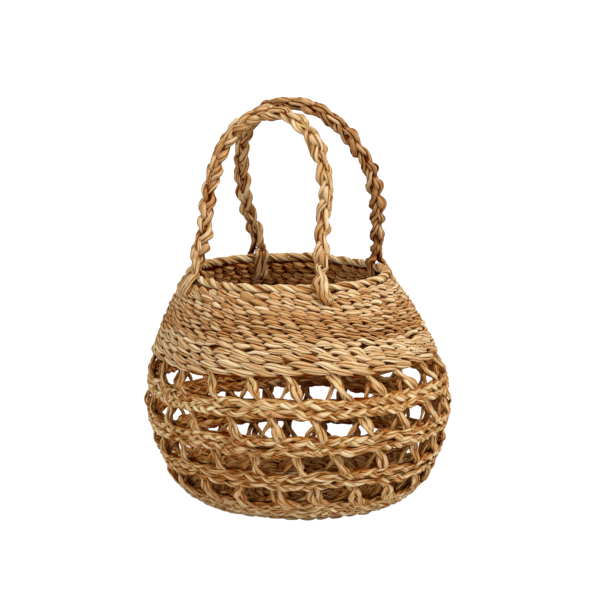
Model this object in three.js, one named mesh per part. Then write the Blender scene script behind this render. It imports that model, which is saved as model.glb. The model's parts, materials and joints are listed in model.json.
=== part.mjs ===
// Hand-woven seagrass basket: a pot-bellied open-work body on a woven base, closed by a dense
// shoulder and a rope rim, with two plaited handles that swing on feet looped over the rim.
// Millimetres and degrees, +Z up, origin on the ground at the middle of the base.
import * as THREE from 'three';

// Wall: the outside of the weave, from the ground to the mouth
const FOOT_RADIUS = 101;
const BELLY_RADIUS = 154;
const BELLY_HEIGHT = 96;
const MOUTH_RADIUS = 105;
const WALL_HEIGHT = 220.5;
const LOWER_FULLNESS = 1.6;
const UPPER_FULLNESS = 1.8;

// The mouth of the hand-made wall sits a little off the base
const MOUTH_LEAN = 12;
const MOUTH_LEAN_AZIMUTH = 205;

// Weave
const WEFT_THICKNESS = 3.2;
const STAKE_THICKNESS = 2.4;
const STAKE_WIDTH = 6.4;
const STAKE_PAIRS = 22;
const ROW_RIDGE = 1.3;
const CLEARANCE = 0.3;

// Levels of the open work
const FOOT_TOP = 27;
const SHOULDER_BOTTOM = 148;
const OPEN_BANDS = 4;
const OPEN_HEIGHT = 17;
const FOOT_ROWS = 3;
const BAND_ROWS = 2;
const SHOULDER_ROWS = 12;
const SHOULDER_INNER_ROWS = 3;
const STAKE_TUCK = 12;
const FIRST_CROSSING = 6.2;

// Base
const BASE_THICKNESS = 7;
const BASE_ROWS = 5;

// Rim rope
const RIM_ROPE_RADIUS = 5.5;

// Handles: the arch lies in a plane that leans in over the mouth, and its two halves bulge unevenly.
// Left and right are seen from outside the basket
const HANDLE_WIDTH = 13;
const HANDLE_THICKNESS = 9;
const HANDLE_END_RADIUS = 5;
const FRONT_HANDLE = { azimuth: -89, halfSpan: 42, rise: 152.5, leftWidth: 60.5, rightWidth: 63.5, lean: 15 };
const BACK_HANDLE = { azimuth: 91, halfSpan: 42, rise: 168, leftWidth: 76, rightWidth: 70, lean: 24 };
const HANDLE_SHOULDER = 0.41;
const HANDLE_FULLNESS = 0.57;

// Feet of the handles: flat bundles of strands looped over the rim
const FOOT_STRAP_WIDTH = 12;
const FOOT_STRAP_THICKNESS = 3;
const OUTER_LEG = 8;
const INNER_LEG = 10;
const STRAP_GAP = 0.7;

// Facets
const ROUND_SEGMENTS = 2 * STAKE_PAIRS;
const ROPE_SIDES = 8;
const HANDLE_SIDES = 8;
const ARCH_STEPS = 30;
const TIP_STEPS = 3;
const STRAP_BEND_SEGMENTS = 6;

// Worked-out sizes
const WALL_THICKNESS = 2 * (WEFT_THICKNESS + STAKE_THICKNESS) + 3 * CLEARANCE;
const BAND_HEIGHT = (SHOULDER_BOTTOM - FOOT_TOP - OPEN_BANDS * OPEN_HEIGHT) / (OPEN_BANDS - 1);
const LEVEL_STEP = OPEN_HEIGHT + BAND_HEIGHT;
const OUTER_STAKE_DEPTH = WEFT_THICKNESS + CLEARANCE + STAKE_THICKNESS / 2;
const INNER_STAKE_DEPTH = OUTER_STAKE_DEPTH + STAKE_THICKNESS + CLEARANCE;
const INNER_WEFT_DEPTH = WALL_THICKNESS - WEFT_THICKNESS;
const HALF_PITCH = Math.PI / STAKE_PAIRS;
const RIM_HEIGHT = WALL_HEIGHT + CLEARANCE + RIM_ROPE_RADIUS;
const FACET_SPREAD = 1 / Math.cos(Math.PI / ROUND_SEGMENTS);

const weftMaterial = new THREE.MeshStandardMaterial({ color: 0xcda064, roughness: 0.85, metalness: 0 });
const stakeMaterial = new THREE.MeshStandardMaterial({ color: 0xc08a4a, roughness: 0.85, metalness: 0 });
const plaitMaterial = new THREE.MeshStandardMaterial({ color: 0xd2a86c, roughness: 0.8, metalness: 0 });

// Radius of the outside of the weave at a height
function wallRadius(height) {
  if (height < BELLY_HEIGHT) {
    const drop = Math.min((BELLY_HEIGHT - height) / BELLY_HEIGHT, 1);
    const rise = (1 - drop ** LOWER_FULLNESS) ** (1 / LOWER_FULLNESS);
    return FOOT_RADIUS + (BELLY_RADIUS - FOOT_RADIUS) * rise;
  }
  const climb = (height - BELLY_HEIGHT) / (WALL_HEIGHT - BELLY_HEIGHT);
  return MOUTH_RADIUS + (BELLY_RADIUS - MOUTH_RADIUS) * (1 - climb ** UPPER_FULLNESS);
}

// A point of the wall's section, moved a depth inwards along the wall's own normal
function sunkPoint(height, depth) {
  const reach = 0.05;
  const slope = (wallRadius(height + reach) - wallRadius(height - reach)) / (2 * reach);
  const length = Math.hypot(1, slope);
  return new THREE.Vector2(wallRadius(height) - depth / length, height + (depth * slope) / length);
}

// Radius, at a level, of the surface that lies a depth inside the wall
function shellRadius(level, depth) {
  let low = 0.1;
  let high = WALL_HEIGHT + 2 * WALL_THICKNESS;
  for (let i = 0; i < 40; i += 1) {
    const middle = (low + high) / 2;
    if (sunkPoint(middle, depth).y < level) {
      low = middle;
    } else {
      high = middle;
    }
  }
  return sunkPoint((low + high) / 2, depth).x;
}

// How far the wall has moved off the axis at a height
function leanAt(height) {
  const climb = THREE.MathUtils.clamp((height - BELLY_HEIGHT) / (RIM_HEIGHT - BELLY_HEIGHT), 0, 1);
  const share = climb * climb * (3 - 2 * climb);
  const azimuth = THREE.MathUtils.degToRad(MOUTH_LEAN_AZIMUTH);
  return new THREE.Vector2(Math.cos(azimuth), Math.sin(azimuth)).multiplyScalar(MOUTH_LEAN * share);
}

// Moves each vertex of a piece of the body sideways with the wall
function leanWithWall(geometry) {
  const place = geometry.getAttribute('position');
  for (let i = 0; i < place.count; i += 1) {
    const shift = leanAt(place.getZ(i));
    place.setXY(i, place.getX(i) + shift.x, place.getY(i) + shift.y);
  }
  return geometry;
}

// Turns a closed section, drawn as radius and height, round the axis
function revolve(section) {
  const closed = section[0].x > 0 ? [...section, section[0].clone()] : section;
  return leanWithWall(new THREE.LatheGeometry(closed, ROUND_SEGMENTS).rotateX(Math.PI / 2));
}

// Rows of weave as ridges between two levels, from the bottom to the top
function ridges(bottom, top, rows, crestDepth, valleyDepth) {
  const points = [];
  for (let i = 0; i <= 2 * rows; i += 1) {
    const level = bottom + ((top - bottom) * i) / (2 * rows);
    const depth = i % 2 === 1 ? crestDepth : valleyDepth;
    points.push(new THREE.Vector2(shellRadius(level, depth), level));
  }
  return points;
}

// A corner of a face that looks outwards, whose facets cut inside its circle
function facingOut(level, depth) {
  return new THREE.Vector2(shellRadius(level, depth), level);
}

// A corner of a face that looks inwards, spread so that its facets stay outside its circle
function facingIn(level, depth) {
  return new THREE.Vector2(shellRadius(level, depth) * FACET_SPREAD, level);
}

// The weft rows outside the stakes of one band
function outerBand(bottom, top) {
  const outside = ridges(bottom, top, BAND_ROWS, 0, ROW_RIDGE);
  const inside = [facingIn(top, WEFT_THICKNESS), facingIn(bottom, WEFT_THICKNESS)];
  return revolve([...outside, ...inside]);
}

// The weft rows inside the stakes of one band
function innerBand(bottom, top) {
  const outside = [facingOut(bottom, INNER_WEFT_DEPTH), facingOut(top, INNER_WEFT_DEPTH)];
  const inside = ridges(bottom, top, BAND_ROWS, WALL_THICKNESS, WALL_THICKNESS - ROW_RIDGE);
  return revolve([...outside, ...inside.reverse()]);
}

// Woven base and foot wall in one piece, with a channel that takes the lower ends of the stakes
function base() {
  const channelFloor = FOOT_TOP - STAKE_TUCK - CLEARANCE;
  const outside = ridges(0, FOOT_TOP, FOOT_ROWS, 0, ROW_RIDGE);
  outside[0] = new THREE.Vector2(FOOT_RADIUS, 0);
  const channel = [
    facingIn(FOOT_TOP, WEFT_THICKNESS),
    facingIn(channelFloor, WEFT_THICKNESS),
    facingOut(channelFloor, INNER_WEFT_DEPTH),
    facingOut(FOOT_TOP, INNER_WEFT_DEPTH),
  ];
  const wallFoot = FOOT_TOP - STAKE_TUCK;
  const inside = ridges(wallFoot, FOOT_TOP, 1, WALL_THICKNESS, WALL_THICKNESS - ROW_RIDGE).reverse();
  const floorRadius = inside[inside.length - 1].x - WALL_THICKNESS / 2;
  const floor = [];
  for (let i = 0; i < 2 * BASE_ROWS; i += 1) {
    const radius = floorRadius * (1 - i / (2 * BASE_ROWS));
    const height = i % 2 === 0 ? BASE_THICKNESS : BASE_THICKNESS + ROW_RIDGE;
    floor.push(new THREE.Vector2(radius, height));
  }
  const underside = new THREE.Vector2(0, 0);
  const middle = new THREE.Vector2(0, BASE_THICKNESS);
  return revolve([underside, ...outside, ...channel, ...inside, ...floor, middle]);
}

// Dense weave above the open work, with a channel that takes the upper ends of the stakes
function shoulder() {
  const channelRoof = SHOULDER_BOTTOM + STAKE_TUCK + CLEARANCE;
  const outside = ridges(SHOULDER_BOTTOM, WALL_HEIGHT, SHOULDER_ROWS, 0, ROW_RIDGE);
  const valley = WALL_THICKNESS - ROW_RIDGE;
  const inside = ridges(SHOULDER_BOTTOM, WALL_HEIGHT, SHOULDER_INNER_ROWS, WALL_THICKNESS, valley).reverse();
  const channel = [
    facingOut(SHOULDER_BOTTOM, INNER_WEFT_DEPTH),
    facingOut(channelRoof, INNER_WEFT_DEPTH),
    facingIn(channelRoof, WEFT_THICKNESS),
    facingIn(SHOULDER_BOTTOM, WEFT_THICKNESS),
  ];
  return revolve([...outside, ...inside, ...channel]);
}

// Levels at which a stake bends: its two tucked ends and the edges of every band
function stakeLevels() {
  const levels = [FOOT_TOP - STAKE_TUCK];
  for (let band = 0; band < OPEN_BANDS; band += 1) {
    levels.push(FOOT_TOP + band * LEVEL_STEP, FOOT_TOP + band * LEVEL_STEP + OPEN_HEIGHT);
  }
  return [...levels, SHOULDER_BOTTOM + STAKE_TUCK];
}

// A flat stake bent to the wall. It climbs half a pitch sideways from one open band to the next,
// so a left-leaning and a right-leaning stake cross in the middle of every open band.
function stake(pairIndex, side, depth) {
  const levels = stakeLevels();
  const bands = levels.length - 1;
  const geometry = new THREE.BoxGeometry(STAKE_WIDTH, STAKE_THICKNESS, bands, 1, 1, bands);
  const place = geometry.getAttribute('position');
  for (let i = 0; i < place.count; i += 1) {
    const level = levels[Math.round(place.getZ(i) + bands / 2)];
    const radius = shellRadius(level, depth + place.getY(i));
    const steps = (level - FOOT_TOP - OPEN_HEIGHT / 2) / LEVEL_STEP;
    const turn = HALF_PITCH * (2 * pairIndex + side * steps);
    const angle = THREE.MathUtils.degToRad(FIRST_CROSSING) + turn + place.getX(i) / radius;
    place.setXYZ(i, radius * Math.cos(angle), radius * Math.sin(angle), level);
  }
  return leanWithWall(geometry);
}

// Middle of the rope and of the wall's top edge under it
function rimRadius() {
  const outer = shellRadius(WALL_HEIGHT, ROW_RIDGE);
  const inner = shellRadius(WALL_HEIGHT, WALL_THICKNESS - ROW_RIDGE);
  return (outer + inner) / 2;
}

function rimRope() {
  const section = [];
  for (let i = 0; i < ROPE_SIDES; i += 1) {
    const turn = (2 * Math.PI * (i + 0.5)) / ROPE_SIDES - Math.PI / 2;
    const radius = rimRadius() + RIM_ROPE_RADIUS * Math.cos(turn);
    section.push(new THREE.Vector2(radius, RIM_HEIGHT + RIM_ROPE_RADIUS * Math.sin(turn)));
  }
  return revolve(section);
}

// Height of the axis that a handle swings on: its round end rests on the strap over the rim
function hingeHeight() {
  return RIM_HEIGHT + RIM_ROPE_RADIUS + STRAP_GAP + FOOT_STRAP_THICKNESS + CLEARANCE + HANDLE_END_RADIUS;
}

// Outline of a strap over the rim, drawn as radius and height: down the outside of the shoulder,
// round the rope and down the inside
function strapOutline() {
  const near = RIM_ROPE_RADIUS + STRAP_GAP;
  const far = near + FOOT_STRAP_THICKNESS;
  const middle = rimRadius();
  const legPoint = (level, depth) => new THREE.Vector2(shellRadius(level, depth), level);
  const outerLow = WALL_HEIGHT - OUTER_LEG;
  const innerLow = WALL_HEIGHT - INNER_LEG;
  const outsideNear = -STRAP_GAP;
  const outsideFar = -STRAP_GAP - FOOT_STRAP_THICKNESS;
  const insideNear = WALL_THICKNESS + STRAP_GAP;
  const insideFar = insideNear + FOOT_STRAP_THICKNESS;
  const shape = new THREE.Shape();
  const lineTo = (point) => shape.lineTo(point.x, point.y);
  const start = legPoint(outerLow, outsideNear);
  shape.moveTo(start.x, start.y);
  lineTo(legPoint(outerLow, outsideFar));
  lineTo(legPoint((outerLow + WALL_HEIGHT) / 2, outsideFar));
  lineTo(legPoint(WALL_HEIGHT, outsideFar));
  shape.absarc(middle, RIM_HEIGHT, far, 0, Math.PI, false);
  lineTo(legPoint(WALL_HEIGHT, insideFar));
  lineTo(legPoint(innerLow, insideFar));
  lineTo(legPoint(innerLow, insideNear));
  lineTo(legPoint(WALL_HEIGHT, insideNear));
  shape.absarc(middle, RIM_HEIGHT, near, Math.PI, 0, true);
  lineTo(legPoint(WALL_HEIGHT, outsideNear));
  lineTo(legPoint((outerLow + WALL_HEIGHT) / 2, outsideNear));
  return shape;
}

function footStrap(azimuth) {
  const settings = { depth: FOOT_STRAP_WIDTH, bevelEnabled: false, curveSegments: STRAP_BEND_SEGMENTS };
  const geometry = new THREE.ExtrudeGeometry(strapOutline(), settings);
  geometry.translate(0, 0, -FOOT_STRAP_WIDTH / 2);
  geometry.rotateX(Math.PI / 2);
  geometry.rotateZ(THREE.MathUtils.degToRad(azimuth));
  return leanWithWall(geometry);
}

// Half of the arch, from the hinge axis up to the crown, as two curves that share an upright tangent
function halfArch(handle, footX, side) {
  const width = side < 0 ? handle.leftWidth : handle.rightWidth;
  const shoulderHeight = handle.rise * HANDLE_SHOULDER;
  const point = (x, y) => new THREE.Vector3(side * x, y, 0);
  const leg = new THREE.CubicBezierCurve3(
    point(footX, 0),
    point(footX + (width - footX) * 0.6, shoulderHeight * 0.4),
    point(width, shoulderHeight * 0.6),
    point(width, shoulderHeight),
  );
  const crown = new THREE.CubicBezierCurve3(
    point(width, shoulderHeight),
    point(width, THREE.MathUtils.lerp(shoulderHeight, handle.rise, HANDLE_FULLNESS)),
    point(width * HANDLE_FULLNESS, handle.rise),
    point(0, handle.rise),
  );
  return [leg, crown];
}

// The whole arch as one smooth line through points of its two halves
function archCurve(handle) {
  const footX = rimRadius() * Math.sin(THREE.MathUtils.degToRad(handle.halfSpan));
  const points = [];
  for (const curve of halfArch(handle, footX, -1)) {
    points.push(...curve.getPoints(6).slice(0, -1));
  }
  const right = halfArch(handle, footX, 1).reverse();
  for (const curve of right) {
    points.push(...curve.getPoints(6).reverse().slice(0, -1));
  }
  points.push(new THREE.Vector3(footX, 0, 0));
  return new THREE.CatmullRomCurve3(points, false, 'centripetal');
}

// Stations along the arch: round tips of growing size, then even steps at full size
function archStations(length) {
  const tip = HANDLE_END_RADIUS;
  const stations = [];
  for (let i = 0; i < TIP_STEPS; i += 1) {
    const turn = ((i + 0.5) / TIP_STEPS) * (Math.PI / 2);
    stations.push({ along: -tip * Math.cos(turn), tipRadius: tip * Math.sin(turn) });
  }
  for (let i = 0; i <= ARCH_STEPS; i += 1) {
    stations.push({ along: (length * i) / ARCH_STEPS, tipRadius: tip });
  }
  for (let i = TIP_STEPS - 1; i >= 0; i -= 1) {
    stations.push({ along: length - stations[i].along, tipRadius: stations[i].tipRadius });
  }
  return stations;
}

// Corners of the plait's oval section at one station
function plaitSection(curve, length, { along, tipRadius }) {
  const inside = THREE.MathUtils.clamp(along, 0, length);
  const tangent = curve.getTangentAt(inside / length);
  const centre = curve.getPointAt(inside / length).addScaledVector(tangent, along - inside);
  const across = new THREE.Vector3(-tangent.y, tangent.x, 0);
  const growth = THREE.MathUtils.smoothstep(Math.min(along, length - along), 0, HANDLE_WIDTH);
  const halfWidth = tipRadius + (HANDLE_WIDTH / 2 - HANDLE_END_RADIUS) * growth;
  const halfThickness = tipRadius + (HANDLE_THICKNESS / 2 - HANDLE_END_RADIUS) * growth;
  const corners = [];
  for (let k = 0; k < HANDLE_SIDES; k += 1) {
    const turn = (2 * Math.PI * k) / HANDLE_SIDES;
    const corner = centre.clone().addScaledVector(across, halfWidth * Math.cos(turn));
    corner.z += halfThickness * Math.sin(turn);
    corners.push(corner);
  }
  return corners;
}

// Oval plait swept along the arch; its ends narrow to round tips centred on the hinge axis
function plaitedArch(handle) {
  const curve = archCurve(handle);
  const length = curve.getLength();
  const stations = archStations(length);
  const corners = stations.flatMap((station) => plaitSection(curve, length, station));
  const faces = [];
  for (let i = 0; i + 1 < stations.length; i += 1) {
    for (let k = 0; k < HANDLE_SIDES; k += 1) {
      const a = i * HANDLE_SIDES + k;
      const b = i * HANDLE_SIDES + ((k + 1) % HANDLE_SIDES);
      faces.push(a, b, a + HANDLE_SIDES, b, b + HANDLE_SIDES, a + HANDLE_SIDES);
    }
  }
  const last = (stations.length - 1) * HANDLE_SIDES;
  for (let k = 1; k + 1 < HANDLE_SIDES; k += 1) {
    faces.push(0, k + 1, k, last, last + k, last + k + 1);
  }
  return new THREE.BufferGeometry().setFromPoints(corners).setIndex(faces);
}

function addPiece(group, name, geometry, material) {
  const mesh = new THREE.Mesh(geometry, material);
  mesh.name = name;
  group.add(mesh);
  return mesh;
}

// Stands the arch over its chord, with its plane leaning in towards the mouth
function standHandle(mesh, handle) {
  const azimuth = THREE.MathUtils.degToRad(handle.azimuth);
  const chordRadius = rimRadius() * Math.cos(THREE.MathUtils.degToRad(handle.halfSpan));
  const shift = leanAt(RIM_HEIGHT);
  mesh.position.set(
    chordRadius * Math.cos(azimuth) + shift.x,
    chordRadius * Math.sin(azimuth) + shift.y,
    hingeHeight(),
  );
  mesh.rotation.order = 'ZXY';
  mesh.rotation.z = azimuth + Math.PI / 2;
  mesh.rotation.x = Math.PI / 2 - THREE.MathUtils.degToRad(handle.lean);
}

function addHandle(group, label, handle) {
  const arch = addPiece(group, `${label}_handle`, plaitedArch(handle), plaitMaterial);
  standHandle(arch, handle);
  addPiece(group, `${label}_left_foot`, footStrap(handle.azimuth - handle.halfSpan), plaitMaterial);
  addPiece(group, `${label}_right_foot`, footStrap(handle.azimuth + handle.halfSpan), plaitMaterial);
}

function addStakes(group) {
  for (let i = 0; i < STAKE_PAIRS; i += 1) {
    const number = String(i + 1).padStart(2, '0');
    addPiece(group, `outer_stake_${number}`, stake(i, -1, OUTER_STAKE_DEPTH), stakeMaterial);
    addPiece(group, `inner_stake_${number}`, stake(i, 1, INNER_STAKE_DEPTH), stakeMaterial);
  }
}

function addBands(group) {
  const names = ['lower', 'middle', 'upper'];
  for (let i = 0; i + 1 < OPEN_BANDS; i += 1) {
    const bottom = FOOT_TOP + OPEN_HEIGHT + i * LEVEL_STEP;
    const top = bottom + BAND_HEIGHT;
    addPiece(group, `${names[i]}_band_outer`, outerBand(bottom, top), weftMaterial);
    addPiece(group, `${names[i]}_band_inner`, innerBand(bottom, top), weftMaterial);
  }
}

function buildBasket() {
  const basket = new THREE.Group();
  addPiece(basket, 'base', base(), weftMaterial);
  addStakes(basket);
  addBands(basket);
  addPiece(basket, 'shoulder', shoulder(), weftMaterial);
  addPiece(basket, 'rim_rope', rimRope(), weftMaterial);
  addHandle(basket, 'front', FRONT_HANDLE);
  addHandle(basket, 'back', BACK_HANDLE);
  return basket;
}

export default buildBasket();
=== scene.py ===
"""Looks of a hand-woven seagrass basket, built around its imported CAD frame.

Every strand is a creased bundle of dried leaf strips, swept along its own path: twined rows round the
base and the wall, stakes that cross in the open work, a two-ply rope on the rim, and two three-strand
plaits whose ends are tied over the rim. Lengths are millimetres until a mesh is made.
"""

import json
import logging
import math
from collections.abc import Callable, Iterable
from dataclasses import dataclass
from enum import Enum, IntEnum

import bpy
import numpy as np
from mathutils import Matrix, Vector


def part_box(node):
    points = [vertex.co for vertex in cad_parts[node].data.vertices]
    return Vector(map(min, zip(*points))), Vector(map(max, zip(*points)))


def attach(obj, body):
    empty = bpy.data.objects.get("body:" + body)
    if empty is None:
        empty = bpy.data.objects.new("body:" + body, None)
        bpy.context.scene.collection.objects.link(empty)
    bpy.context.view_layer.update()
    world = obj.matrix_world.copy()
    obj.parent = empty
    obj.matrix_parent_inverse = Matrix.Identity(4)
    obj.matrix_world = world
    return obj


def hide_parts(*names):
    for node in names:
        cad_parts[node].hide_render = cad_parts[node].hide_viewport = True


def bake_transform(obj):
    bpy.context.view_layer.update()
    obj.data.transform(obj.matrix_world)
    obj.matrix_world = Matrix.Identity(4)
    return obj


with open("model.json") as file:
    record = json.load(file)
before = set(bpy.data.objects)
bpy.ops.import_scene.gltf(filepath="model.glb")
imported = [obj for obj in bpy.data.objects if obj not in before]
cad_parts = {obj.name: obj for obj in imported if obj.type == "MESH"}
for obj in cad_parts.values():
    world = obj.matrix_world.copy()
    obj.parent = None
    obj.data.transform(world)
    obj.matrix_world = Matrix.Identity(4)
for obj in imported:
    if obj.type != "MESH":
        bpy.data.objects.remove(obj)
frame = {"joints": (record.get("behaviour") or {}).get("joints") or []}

LOG = logging.getLogger("basket")
MM = 0.001
FULL_TURN = 2.0 * math.pi
UPRIGHT = np.array((0.0, 0.0, 1.0))

# The stakes stand in pairs, evenly round the basket, and one pair crosses at FIRST_CROSSING.
STAKE_PAIRS = 22
HALF_PITCH = math.pi / STAKE_PAIRS
FIRST_CROSSING = math.radians(6.2)

# A row starts and ends on the back of the basket, between two angles in degrees.
STROKE_STATIONS = 11
SEAM_ANGLES = (85.0, 150.0)
RIM_SEAM = math.radians(118.0)

# Every random value comes from this seed and the number of its source.
SEED = 2207


class Source(IntEnum):
    """Numbers of the random sources, counted on from a kind's first number where it has many pieces."""

    BASE = 10
    FOOT = 20
    BANDS = 30
    SHOULDER_BOW = 40
    SHOULDER = 41
    RIM = 50
    RIM_FILLER = 51
    FRONT_PLAIT = 60
    BACK_PLAIT = 61
    LEAF_TIPS = 70
    OUTER_STAKES = 100
    INNER_STAKES = 150


class Slot(Enum):
    """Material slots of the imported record."""

    WEFT = "weft"
    STAKE = "stake"
    PLAIT = "plait"


def smooth(share: np.ndarray) -> np.ndarray:
    """Clips a share to 0..1 and eases it with 3t^2 - 2t^3."""
    share = np.clip(share, 0.0, 1.0)
    return share * share * (3.0 - 2.0 * share)


def unit(vectors: np.ndarray) -> np.ndarray:
    """Scales each row of an array of vectors to length one."""
    return vectors / np.linalg.norm(vectors, axis=-1, keepdims=True)


def travel(points: np.ndarray) -> np.ndarray:
    """Distance walked along a line up to each of its points."""
    steps = np.linalg.norm(np.diff(points, axis=0), axis=-1)
    return np.concatenate(([0.0], np.cumsum(steps)))


def millimetres(box: tuple) -> tuple[np.ndarray, np.ndarray]:
    """Lowest and highest corner of a box of the frame, in millimetres."""
    return np.array(box[0]) / MM, np.array(box[1]) / MM


def wander(along: np.ndarray, spacing: float, rng: np.random.Generator, closed: bool = False) -> np.ndarray:
    """Smooth random values from -1 to 1 along a line.

    Random values stand at even spaces, and between two of them the line follows 3t^2 - 2t^3.

    Args:
        along: Increasing places on the line.
        spacing: Distance between two random values.
        rng: Source of the random values.
        closed: Whether the last value equals the first.

    Returns:
        One value for each place.
    """
    span = along[-1] - along[0]
    count = max(3, round(span / spacing))
    values = rng.uniform(-1.0, 1.0, count + 1)
    if closed:
        values[-1] = values[0]
    place = (along - along[0]) / span * count
    left = np.minimum(place.astype(int), count - 1)
    share = smooth(place - left)
    return values[left] * (1.0 - share) + values[left + 1] * share


@dataclass(frozen=True)
class Jitter:
    """Unevenness of the hand: how large it gets, and how far apart two of its random values stand."""

    size: float
    spacing: float

    def on(
        self, along: np.ndarray, rng: np.random.Generator, stroke: float = 1.0, closed: bool = False
    ) -> np.ndarray:
        """Values along a line, where stroke is the length that the spacing counts in."""
        return self.size * wander(along, self.spacing * stroke, rng, closed)


class Round:
    """Stations of one round of weaving, from a seam on the back of the basket."""

    def __init__(self, strokes: int, rng: np.random.Generator) -> None:
        """Spreads the stations.

        Args:
            strokes: Strokes of a strand on its way round.
            rng: Source of the random values.
        """
        start = math.radians(rng.uniform(*SEAM_ANGLES))
        self.azimuth = start + np.linspace(0.0, FULL_TURN, strokes * STROKE_STATIONS + 1)
        self._stroke = FULL_TURN / strokes
        self._rng = rng

    def waver(self, jitter: Jitter) -> np.ndarray:
        """Unevenness round the basket, with its spacing in strokes."""
        return jitter.on(self.azimuth, self._rng, self._stroke, closed=True)


@dataclass(frozen=True)
class Outline:
    """Outside of the weave as a radius for each height."""

    belly_radius: float
    top: float
    foot_radius: float = 101.0
    belly_height: float = 96.0
    mouth_radius: float = 105.0
    lower_fullness: float = 1.6
    upper_fullness: float = 1.8

    def radius(self, height: np.ndarray) -> np.ndarray:
        """Radius at each height.

        Below the belly the wall is a quarter of a superellipse, and above it a power curve to the mouth.

        Args:
            height: Heights above the ground.

        Returns:
            One radius for each height.
        """
        drop = np.clip(1.0 - height / self.belly_height, 0.0, 1.0)
        rise = (1.0 - drop**self.lower_fullness) ** (1.0 / self.lower_fullness)
        below = self.foot_radius + (self.belly_radius - self.foot_radius) * rise
        climb = np.clip((height - self.belly_height) / (self.top - self.belly_height), 0.0, None)
        swell = (self.belly_radius - self.mouth_radius) * (1.0 - climb**self.upper_fullness)
        return np.where(height < self.belly_height, below, self.mouth_radius + swell)


@dataclass(frozen=True)
class Lean:
    """Sideways shift of the hand-made mouth from the middle of the base."""

    shift: tuple[float, float]
    start: float
    end: float

    def at(self, height: np.ndarray) -> np.ndarray:
        """Shift in x and y at each height, eased from the belly to the rim."""
        share = smooth((height - self.start) / (self.end - self.start))
        return share[..., None] * np.array(self.shift)


@dataclass(frozen=True)
class Ripple:
    """One slow wave of the hand-made wall, with count waves on the way round."""

    size: float
    count: float
    phase: float
    drift: float

    def at(self, azimuth: np.ndarray, length: np.ndarray) -> np.ndarray:
        """Size times the sine of count times the azimuth, plus the phase, plus length over drift."""
        return self.size * np.sin(self.count * azimuth + self.phase + length / self.drift)


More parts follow.
